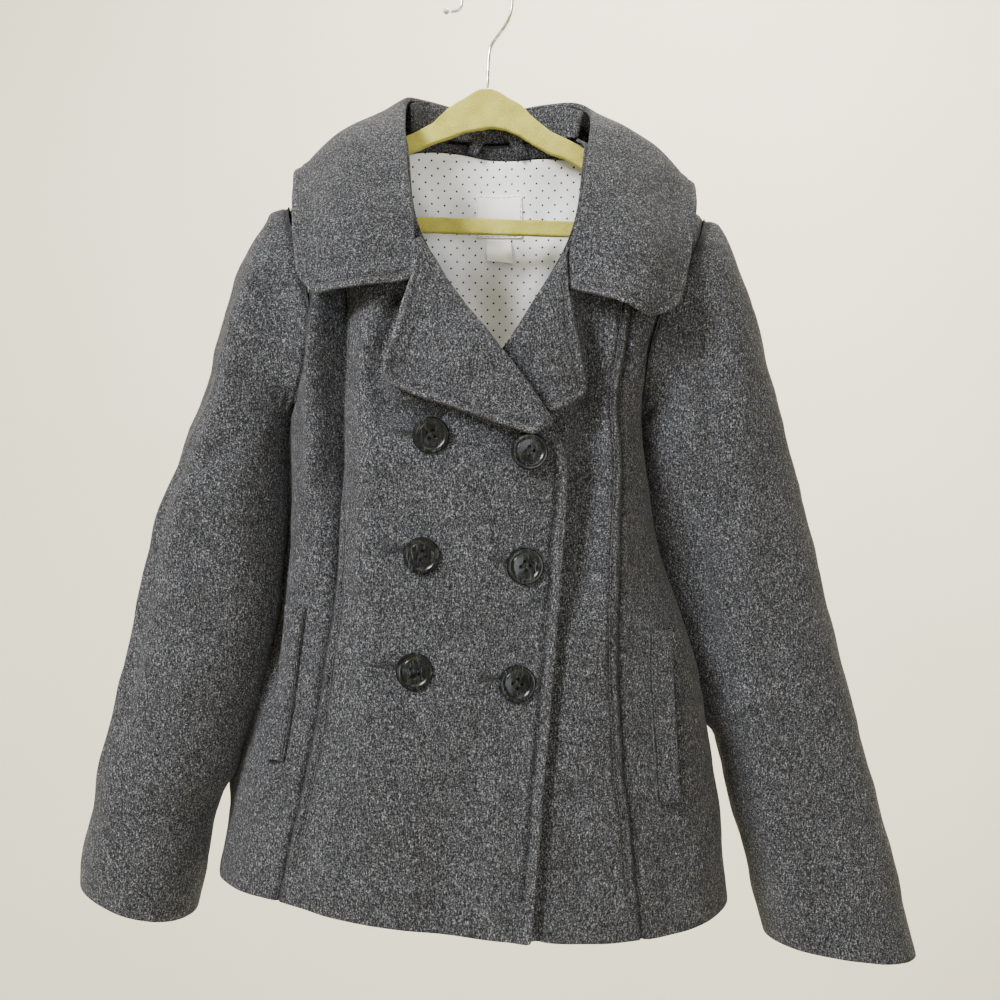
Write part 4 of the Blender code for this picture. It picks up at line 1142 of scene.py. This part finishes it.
# Narrow hollows where a layer ends on the layer below it
BESIDE_FRONT_EDGE = Crease(Side.FRONT, ((58, -345), (55.5, -390), (52.5, -431), (48, -503),
                                        (42.5, -553), (39, -601), (36.5, -637), (34, -690)), 4.4, -3.2, 8)
BESIDE_LAPEL = Crease(Side.FRONT, ((69, -225), (71, -300), (66, -320), (46, -333)), 4.6, -3.0, 8)
HOLLOW_BESIDE_EDGE = Crease(Side.FRONT, ((76, -225), (71, -310), (65, -400), (60, -480)), 11, -9.0, 60)
RIDGE_BESIDE_HOLLOW = Crease(Side.FRONT, ((92, -250), (89, -350), (86, -480)), 8, 3.5, 50)
UNDER_TOP_LAPEL = Crease(Side.FRONT, ((8, -280), (30, -314), (52, -348)), 9, -8.0, 10)
BESIDE_TOP_LAPEL = Crease(Side.FRONT, ((-54, -236), (-72, -286), (-74, -306), (-66, -324),
                                       (-26, -334), (9, -344), (34, -349)), 9.0, -10.0, 12)
LEFT_POCKET_MOUTH = Crease(Side.FRONT, ((-139.5, -455), (-142.5, -484), (-145.5, -510), (-148.5, -536),
                                        (-152.5, -566)), 2.2, -2.2, 4)
RIGHT_POCKET_MOUTH = Crease(Side.FRONT, ((127.5, -472), (127.5, -504), (128.5, -533), (130.5, -562),
                                         (132.5, -594)), 2.4, -5.0, 4)


@dataclass
class BodyPanels:
    """The two fronts, their side pieces and the back."""

    core: Vector = field(default_factory=lambda: Vector((-5, -15, -400)))
    front_stitch: float = 8.0
    princess_stitch: float = 6.6
    button_line_top: float = -346.0
    edge_lift: float = 2.8
    hole_length: int = 24
    hole_slope: float = 0.06
    hole_rise: float = 2.7        # above the button's middle

    def slits(self, frame: dict) -> tuple[StitchRun, ...]:
        """The buttonholes, each from under its button out towards the coat's side."""
        made = []
        for number in range(1, 7):
            middle = Vector(points_of(frame["nodes"][f"button_{number}"].data).mean(axis=0))
            line = [middle + Vector((-step, 0, self.hole_rise + self.hole_slope * step))
                    for step in range(self.hole_length)]
            made.append(StitchRun(line, BUTTONHOLE_SLIT, stitched=False, slit=True))
        return tuple(made)

    def cuts(self, frame: dict) -> list[Cut]:
        """The panels' cuts, in the order they are made."""
        free_edge = SeamLine(self.front_stitch, lambda p: p.x > 22 and -676 < p.z < self.button_line_top,
                             EDGE_STITCH)
        # the free edge is lifted by its thickness, and a highlight is painted along it
        raised_edge = SeamLine(0.6, lambda p: p.x > 22 and p.z < self.button_line_top,
                               Profile(lift=self.edge_lift, lift_width=15.0, painted_highlight=0.5, painted_highlight_width=6.5),
                               stitched=False)
        top_seam = SeamLine(self.princess_stitch, lambda p: p.x < -95 and -640 < p.z < -150)
        under_seam = SeamLine(self.princess_stitch, lambda p: p.x > 84 and -664 < p.z < -150)
        hollows = (HOLLOW_BESIDE_EDGE, RIDGE_BESIDE_HOLLOW)
        return [
            Cut("front_top", (182, 560), 76300, sewn_to=("side_front_top", "back", "lapel_top"),
                seams=(free_edge, raised_edge, top_seam), creases=(BESIDE_TOP_LAPEL,),
                slits=self.slits(frame)),
            Cut("front_under", (190, 565), 74100, sewn_to=("side_front_under", "back", "lapel_under"),
                seams=(under_seam,), creases=(BESIDE_FRONT_EDGE, BESIDE_LAPEL, UNDER_TOP_LAPEL, *hollows)),
            Cut("side_front_top", (110, 525), 36600, sewn_to=("front_top", "back", "sleeve_left"),
                reach=ARMHOLE_REACH, creases=(LEFT_POCKET_MOUTH,)),
            Cut("side_front_under", (115, 545), 40700, sewn_to=("front_under", "back", "sleeve_right"),
                reach=ARMHOLE_REACH, creases=(RIGHT_POCKET_MOUTH, *hollows)),
            Cut("back", (395, 560), 174300, reach=ARMHOLE_REACH,
                sewn_to=("side_front_top", "side_front_under", "front_top", "front_under", "sleeve_left",
                         "sleeve_right")),
        ]

    def build(self, room: Workroom) -> list[Piece]:
        """Make all the panels."""
        return [room.make(cut, TORSO_DRAPE.moved, self.core, TORSO_DRAPE.outward)
                for cut in self.cuts(room.frame)]


@dataclass
class Sleeves:
    """The two sleeves, each a tube from its armhole to its cuff."""

    left: Cut = Cut("sleeve_left", (285, 535), 122200, reach=ARMHOLE_REACH,
                    sewn_to=("side_front_top", "front_top", "back"))
    right: Cut = Cut("sleeve_right", (300, 580), 144000, reach=ARMHOLE_REACH,
                     sewn_to=("side_front_under", "front_under", "back"))

    def build(self, room: Workroom) -> list[Piece]:
        """Make both sleeves."""
        return [room.make(cut, drape.moved, Vector(drape.core_top))
                for cut, drape in ((self.left, LEFT_SLEEVE_DRAPE), (self.right, RIGHT_SLEEVE_DRAPE))]


@dataclass
class CollarAndLapels:
    """The collar's fall and stand, and the two lapels."""

    core: Vector = field(default_factory=lambda: Vector((5, -10, -260)))
    edge_stitch: float = 6.0
    edge_lift: float = 2.8
    lapel_lift: float = 5.0

    def collar_edge(self, place: Vector) -> bool:
        """Whether a place of the collar's border is on its free edge, not on its roll line."""
        reach = math.hypot((place.x - 5) / 80, (place.y + 15) / 55)
        return reach > (1.1 if place.y > 0 else 1.35)

    def settle_collar(self, points: Points, extra: Sequence[Crease] = ()) -> Points:
        """Let the collar lie a little unevenly, along the way out from the neck."""
        out = points - np.array(self.core)
        out /= np.linalg.norm(out, axis=1)[:, None]
        height = 0.8 * unevenness(points, 75.0, 21) + 0.3 * unevenness(points, 27.0, 23)
        return points + out * height[:, None]

    @staticmethod
    def keep_still(points: Points, extra: Sequence[Crease] = ()) -> Points:
        """Leave a stiff piece where it is."""
        return points

    def edge_lines(self, keep: Callable[[Vector], bool], lift: float) -> tuple[SeamLine, SeamLine]:
        """The topstitching of a free edge, and the lift that its thickness gives it, with a painted highlight
        along it.
        """
        return (SeamLine(self.edge_stitch, keep, COLLAR_STITCH),
                SeamLine(0.6, keep, Profile(lift=lift, lift_width=13.0, painted_highlight=0.4, painted_highlight_width=5.5),
                         stitched=False))

    def build(self, room: Workroom) -> list[Piece]:
        """Make the four pieces."""
        fall = Cut("collar_fall", (640, 150), 58800, seams=self.edge_lines(self.collar_edge, self.edge_lift))
        stand = Cut("collar_stand", (150, 36), 4080, sewn_to=("neck_facing",))
        top = Cut("lapel_top", (95, 150), 7670, sewn_to=("front_top",),
                  seams=self.edge_lines(lambda p: p.x < -50 + (-207 - p.z) * 0.66, self.lapel_lift))
        under = Cut("lapel_under", (65, 130), 4420, sewn_to=("front_under",), creases=(UNDER_TOP_LAPEL,),
                    seams=self.edge_lines(lambda p: p.x > max(28, 62 + (p.z + 212) * 0.6), self.edge_lift))
        front = Vector((-5, -15, -400))
        return [room.make(fall, self.settle_collar, self.core),
                room.make(stand, self.keep_still, Vector((5, -60, -100))),
                room.make(top, TORSO_DRAPE.moved, front, TORSO_DRAPE.outward),
                room.make(under, TORSO_DRAPE.moved, front, TORSO_DRAPE.outward)]


@dataclass
class PocketWelts:
    """The two slanting welt pockets."""

    edge_stitch: float = 1.8
    mouth: Profile = Profile(lift=1.3, lift_width=9.0)
    join: Profile = Profile(lift=-1.0, lift_width=7.0)
    groove: Profile = Profile(groove=0.5, groove_width=1.8)

    def make_welt(self, room: Workroom, node: str, mouth: Callable[[Vector], bool],
                  join: Callable[[Vector], bool]) -> Piece:
        """Make one welt.

        Args:
            room: The workroom.
            node: The welt's node.
            mouth: Whether a place of its border is on its open side.
            join: Whether one is on its sewn side or its ends.

        Returns:
            The welt.
        """
        seams = (SeamLine(0.5, mouth, self.mouth, stitched=False),
                 SeamLine(0.5, join, self.join, stitched=False),
                 SeamLine(self.edge_stitch, join, self.groove))
        return room.make(Cut(node, (16, 160), 2300, seams=seams), TORSO_DRAPE.moved, Vector((-5, -15, -500)))

    def build(self, room: Workroom) -> list[Piece]:
        """Make both welts."""
        return [self.make_welt(room, "pocket_welt_left", lambda p: p.x < -132 + (p.z + 458) * 0.125,
                               lambda p: p.x > -130 + (p.z + 458) * 0.125),
                self.make_welt(room, "pocket_welt_right", lambda p: p.x > 119.5 - (p.z + 504) * 0.05,
                               lambda p: p.x < 117.5 - (p.z + 504) * 0.05)]


@dataclass
class InsideBack:
    """What shows inside the neck: facing, lining, hanging loop and the two plain labels."""

    def build(self, room: Workroom) -> list[Piece]:
        """Make the pieces."""
        inside = Vector((0, 60, -200))
        label_edge = SeamLine(1.4, lambda p: True, Profile(groove=0.2, groove_width=1.2))
        loose_end = SeamLine(0.4, lambda p: p.z < -197, Profile(lift=2.4, lift_width=12.0), stitched=False)
        made = [room.make(cut, CollarAndLapels.keep_still, inside) for cut in (
            Cut("neck_facing", (112, 12), 890, levels=2),
            Cut("hanging_loop", (10, 62), 610, levels=2))]
        made += [room.make(cut, LINING_DRAPE.moved, inside) for cut in (
            Cut("lining_back", (360, 520), 143900, levels=2, slot="lining"),
            Cut("neck_label", (37, 33), 1170, slot="tape", seams=(label_edge,), thread="label_thread"),
            Cut("size_tag", (21, 19), 360, slot="tape", seams=(loose_end,)))]
        return made


# Hard pieces

@dataclass
class CoatButtons:
    """Six four-hole buttons, each sewn on with a cross of thread."""

    names: tuple[str, ...] = ("button_1", "button_2", "button_3", "button_4", "button_5", "button_6")
    turns: tuple[float, ...] = (20.0, 48.0, 33.0, 52.0, 12.0, 40.0)     # degrees, how each was sewn on
    radius: float = 12.4
    thickness: float = 3.4
    hole_radius: float = 1.15
    hole_reach: float = 2.1       # from the middle to a hole's middle, along each way
    eased: float = 0.12           # how wide its edges are rounded
    strand: float = 0.33          # a thread's half thickness
    strand_apart: float = 0.34    # from the middle of a cross's arm to each of its two strands
    # how far in and up each cut on the lathe goes
    lathe_cuts: tuple[tuple[float, float], ...] = (
        (0.25, 0.75), (0.55, 0.55), (1.1, 0.2), (0.9, -0.25), (1.0, -0.55), (0.22, -0.22), (0.3, 0.22),
        (1.2, -0.12), (2.2, -0.3), (2.0, -0.14))

    def turned_blank(self) -> Piece:
        """Turn the blank: a raised rim, a fine groove and a dished middle."""
        deselect_all()
        bpy.ops.mesh.primitive_cylinder_add(vertices=72, radius=self.radius * MM,
                                            depth=self.thickness * 0.55 * MM,
                                            location=(0, 0, self.thickness * 0.275 * MM))
        blank = bpy.context.object
        bpy.ops.object.mode_set(mode="EDIT")
        build = bmesh.from_edit_mesh(blank.data)
        for face in build.faces:
            face.select_set(face.normal.z > 0.9)
        bmesh.update_edit_mesh(blank.data)
        for inward, upward in self.lathe_cuts:
            bpy.ops.mesh.inset(thickness=inward * MM)
            bpy.ops.transform.translate(value=(0, 0, upward * MM))
        bpy.ops.object.mode_set(mode="OBJECT")
        bpy.ops.object.transform_apply(location=True)
        return blank

    def drilled(self, blank: Piece) -> None:
        """Drill the four holes."""
        drills = []
        for x in (-self.hole_reach, self.hole_reach):
            for y in (-self.hole_reach, self.hole_reach):
                deselect_all()
                bpy.ops.mesh.primitive_cylinder_add(vertices=20, radius=self.hole_radius * MM, depth=12 * MM,
                                                    location=(x * MM, y * MM, 0))
                drills.append(bpy.context.object)
        for drill in drills:
            cut = blank.modifiers.new("hole", "BOOLEAN")
            cut.object = drill
            cut.operation = "DIFFERENCE"
            cut.solver = "EXACT"
            apply_modifier(blank, cut)
            bpy.data.objects.remove(drill)
        eased = blank.modifiers.new("eased", "BEVEL")
        eased.width = self.eased * MM
        eased.segments = 2
        eased.limit_method = "ANGLE"
        eased.angle_limit = math.radians(35)
        apply_modifier(blank, eased)
        make_active(blank)
        bpy.ops.object.shade_smooth_by_angle(angle=math.radians(30))

    def cross(self) -> Piece:
        """The cross of thread between the holes, two strands each way."""
        curve = bpy.data.curves.new("button_thread", "CURVE")
        curve.dimensions = "3D"
        curve.bevel_depth = self.strand * MM
        curve.bevel_resolution = 2
        curve.use_fill_caps = True
        reach, high = self.hole_reach, self.thickness * 0.62
        for turn in (1, -1):
            for side in (-self.strand_apart, self.strand_apart):
                spline = curve.splines.new("BEZIER")
                spline.bezier_points.add(2)
                across = Vector((-turn, 1, 0)).normalized() * side
                knots = [Vector((-reach, -reach * turn, high - 2.2)),
                         Vector((0, 0, high + (0.5 if turn > 0 else 0.25))),
                         Vector((reach, reach * turn, high - 2.2))]
                for knot, place in zip(spline.bezier_points, knots):
                    knot.co = (place + across) * MM
                    knot.handle_left_type = knot.handle_right_type = "AUTO"
        thread = bpy.data.objects.new("button_thread", curve)
        bpy.context.scene.collection.objects.link(thread)
        make_active(thread)
        bpy.ops.object.convert(target="MESH")
        return bpy.context.object

    def seat(self, frame: dict, name: str, turn: float) -> "tuple[Vector, Vector, Vector]":
        """Where a button sits.

        Args:
            name: The button's node.
            turn: How far round it is turned, in degrees.

        Returns:
            The middle of its back, its first sideways way and its way out.
        """
        points = points_of(frame["nodes"][name].data)
        middle = points.mean(axis=0)
        _, _, ways = np.linalg.svd(points - middle)
        out = Vector(ways[2])
        if out.y > 0:
            out.negate()
        depths = (points - middle) @ np.array(out)
        back = Vector(middle) + out * float(depths.min())
        level = Vector((1, 0, 0))
        across = (level - out * level.dot(out)).normalized()
        other = out.cross(across)
        angle = math.radians(turn)
        return back, across * math.cos(angle) + other * math.sin(angle), out

    def build(self, room: Workroom) -> list[Piece]:
        """Make one button and its thread, and copy them to all six places."""
        blank = self.turned_blank()
        self.drilled(blank)
        thread = self.cross()
        made = []
        for name, turn in zip(self.names, self.turns):
            back, across, out = self.seat(room.frame, name, turn)
            moved = TORSO_DRAPE.moved(np.array([tuple(back)]))[0]
            back = Vector(moved)
            other = out.cross(across)
            for model, label, material in ((blank, "dressed", "horn"), (thread, "thread", "button_thread")):
                mesh = model.data.copy()
                piece = bpy.data.objects.new(f"{name}_{label}", mesh)
                bpy.context.scene.collection.objects.link(piece)
                local = points_of(mesh)
                places = (np.array(back) + local[:, [0]] * np.array(across) + local[:, [1]] * np.array(other)
                          + local[:, [2]] * np.array(out))
                set_points(mesh, places)
                room.dress(piece, material)
                if label == "dressed":
                    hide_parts(name)
                made.append(piece)
        bpy.data.objects.remove(blank)
        bpy.data.objects.remove(thread)
        LOG.info("buttons: %d pieces", len(made))
        return made


@dataclass
class HangerSet:
    """The flocked hanger, its wire hook and the ball on the hook's tip."""

    voxel: float = 1.1
    passes: int = 5               # of smoothing
    nap: float = 0.12             # how high the flock's humps are
    nap_size: float = 9.0

    def build(self, room: Workroom) -> list[Piece]:
        """Make the three pieces."""
        body = copy_of_node(room.frame, "hanger")
        make_active(body)
        body.data.remesh_voxel_size = self.voxel * MM
        bpy.ops.object.voxel_remesh()
        soft = body.modifiers.new("worn_edges", "SMOOTH")
        soft.factor = 0.5
        soft.iterations = self.passes
        apply_modifier(body, soft)
        points = points_of(body.data)
        flock = normals_of(body.data) * (self.nap * unevenness(points, self.nap_size, 31))[:, None]
        set_points(body.data, points + flock)
        body.data.shade_smooth()
        room.dress(body, "flock")
        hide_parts("hanger")
        made = [body]
        for node in ("hanger_hook", "hook_tip"):
            wire = copy_of_node(room.frame, node)
            subdivide(wire, 2)
            wire.data.shade_smooth()
            room.dress(wire, "wire")
            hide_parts(node)
            made.append(wire)
        LOG.info("hanger: %d faces", len(body.data.polygons))
        return made


# The studio

@dataclass(frozen=True)
class Lamp:
    """A soft square light: its place, side and power in watts, and the place that it faces."""

    name: str
    place: tuple[float, float, float]
    size: float
    power: float
    colour: str = "#FFFFFF"
    aim: tuple[float, float, float] = (0.0, 0.0, -0.38)

    def build(self) -> Piece:
        """Make the light."""
        lamp = bpy.data.lights.new(self.name, "AREA")
        lamp.shape = "SQUARE"
        lamp.size = self.size
        lamp.energy = self.power
        lamp.color = linear(self.colour)[:3]
        made = bpy.data.objects.new(self.name, lamp)
        made.location = self.place
        way = Vector(self.aim) - Vector(self.place)
        made.rotation_euler = way.to_track_quat("-Z", "Y").to_euler()
        bpy.context.scene.collection.objects.link(made)
        return made


@dataclass
class Studio:
    """A pale paper sweep, soft lights and the camera, in metres."""

    wall: float = 1.9
    floor: float = -1.85
    half_width: float = 4.5
    reach: float = 3.5
    height: float = 4.1
    bend: float = 1.2
    camera_place: tuple[float, float, float] = (0.0096, -0.9, -0.385)
    lens: float = 43.78
    room_colour: str = "#F3F4F8"
    room_strength: float = 0.12
    lamps: tuple[Lamp, ...] = (
        Lamp("key_light", (-1.3, -1.35, 0.75), 0.6, 102.0),
        Lamp("fill_light", (1.2, -2.5, -0.6), 1.2, 32.0, "#EFF4FF"),
        Lamp("top_light", (-0.1, -1.2, 1.2), 0.6, 7.0),
        Lamp("wall_light", (0.5, 0.7, 1.3), 1.2, 104.0, "#FFFCF2", aim=(0.3, wall, -0.6)))

    def sweep(self, paper: Material) -> Piece:
        """The paper: a floor that curves up into a wall."""
        deselect_all()
        bpy.ops.mesh.primitive_plane_add(size=1, location=(0, 0, self.floor))
        sheet = bpy.context.object
        sheet.name = "paper_sweep"
        bpy.ops.object.mode_set(mode="EDIT")
        build = bmesh.from_edit_mesh(sheet.data)
        for vert in build.verts:
            vert.co.x = math.copysign(self.half_width, vert.co.x)
            vert.co.y = self.wall if vert.co.y > 0 else -self.reach
        for edge in build.edges:
            edge.select_set(all(vert.co.y > 0 for vert in edge.verts))
        bmesh.update_edit_mesh(sheet.data)
        bpy.ops.mesh.extrude_region_move(TRANSFORM_OT_translate={"value": (0, 0, self.height)})
        build = bmesh.from_edit_mesh(sheet.data)
        for edge in build.edges:
            edge.select_set(all(vert.co.y > 0 and vert.co.z < 0.1 for vert in edge.verts))
        bmesh.update_edit_mesh(sheet.data)
        bpy.ops.mesh.bevel(offset=self.bend, segments=16)
        bpy.ops.object.mode_set(mode="OBJECT")
        bpy.ops.object.transform_apply(location=True)
        sheet.data.shade_smooth()
        sheet.data.materials.append(paper)
        return sheet

    def build(self, paper: Material) -> None:
        """Set up the paper, the lights, the world and the camera."""
        self.sweep(paper)
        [lamp.build() for lamp in self.lamps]
        world = bpy.data.worlds.new("soft_room")
        world.use_nodes = True
        back = world.node_tree.nodes["Background"]
        back.inputs["Color"].default_value = linear(self.room_colour)
        back.inputs["Strength"].default_value = self.room_strength
        bpy.context.scene.world = world
        camera = bpy.data.cameras.new("camera")
        camera.lens = self.lens
        camera.sensor_width = 36
        camera.clip_start, camera.clip_end = 0.01, 50
        holder = bpy.data.objects.new("camera", camera)
        holder.location = self.camera_place
        holder.rotation_euler = (math.radians(90), 0, 0)
        bpy.context.scene.collection.objects.link(holder)
        bpy.context.scene.camera = holder


def finishes() -> dict[str, Material]:
    """Make every material the coat uses, by the name its pieces call it."""
    return {
        "wool": WoolMelton().build(),
        "lining": DottedCotton().build(),
        "tape": WovenTape().build(),
        "horn": HornResin().build(),
        "button_thread": Thread("polyester_thread_black", "#141516", "#070708").build(),
        "topstitch_thread": Thread("polyester_thread_grey", "#5E5F61", "#2C2D2F").build(),
        "buttonhole_thread": Thread("polyester_thread_charcoal", "#2E2F32", "#121315").build(),
        "label_thread": Thread("polyester_thread_white", "#D9D8D4", "#B4B3AE").build(),
        "flock": FlockedPlastic().build(),
        "wire": ChromedWire().build(),
    }


def main() -> None:
    """Load the frame, dress every node and set up the studio."""
    logging.basicConfig(level=logging.INFO, format="%(name)s: %(message)s")
    for item in list(bpy.data.objects):
        bpy.data.objects.remove(item, do_unlink=True)
    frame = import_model()
    room = Workroom(frame, finishes())
    for group in (BodyPanels(), Sleeves(), CollarAndLapels(), PocketWelts(), InsideBack(), CoatButtons(),
                  HangerSet()):
        group.build(room)
    Studio().build(StudioPaper().build())


if __name__ == "__main__":
    main()
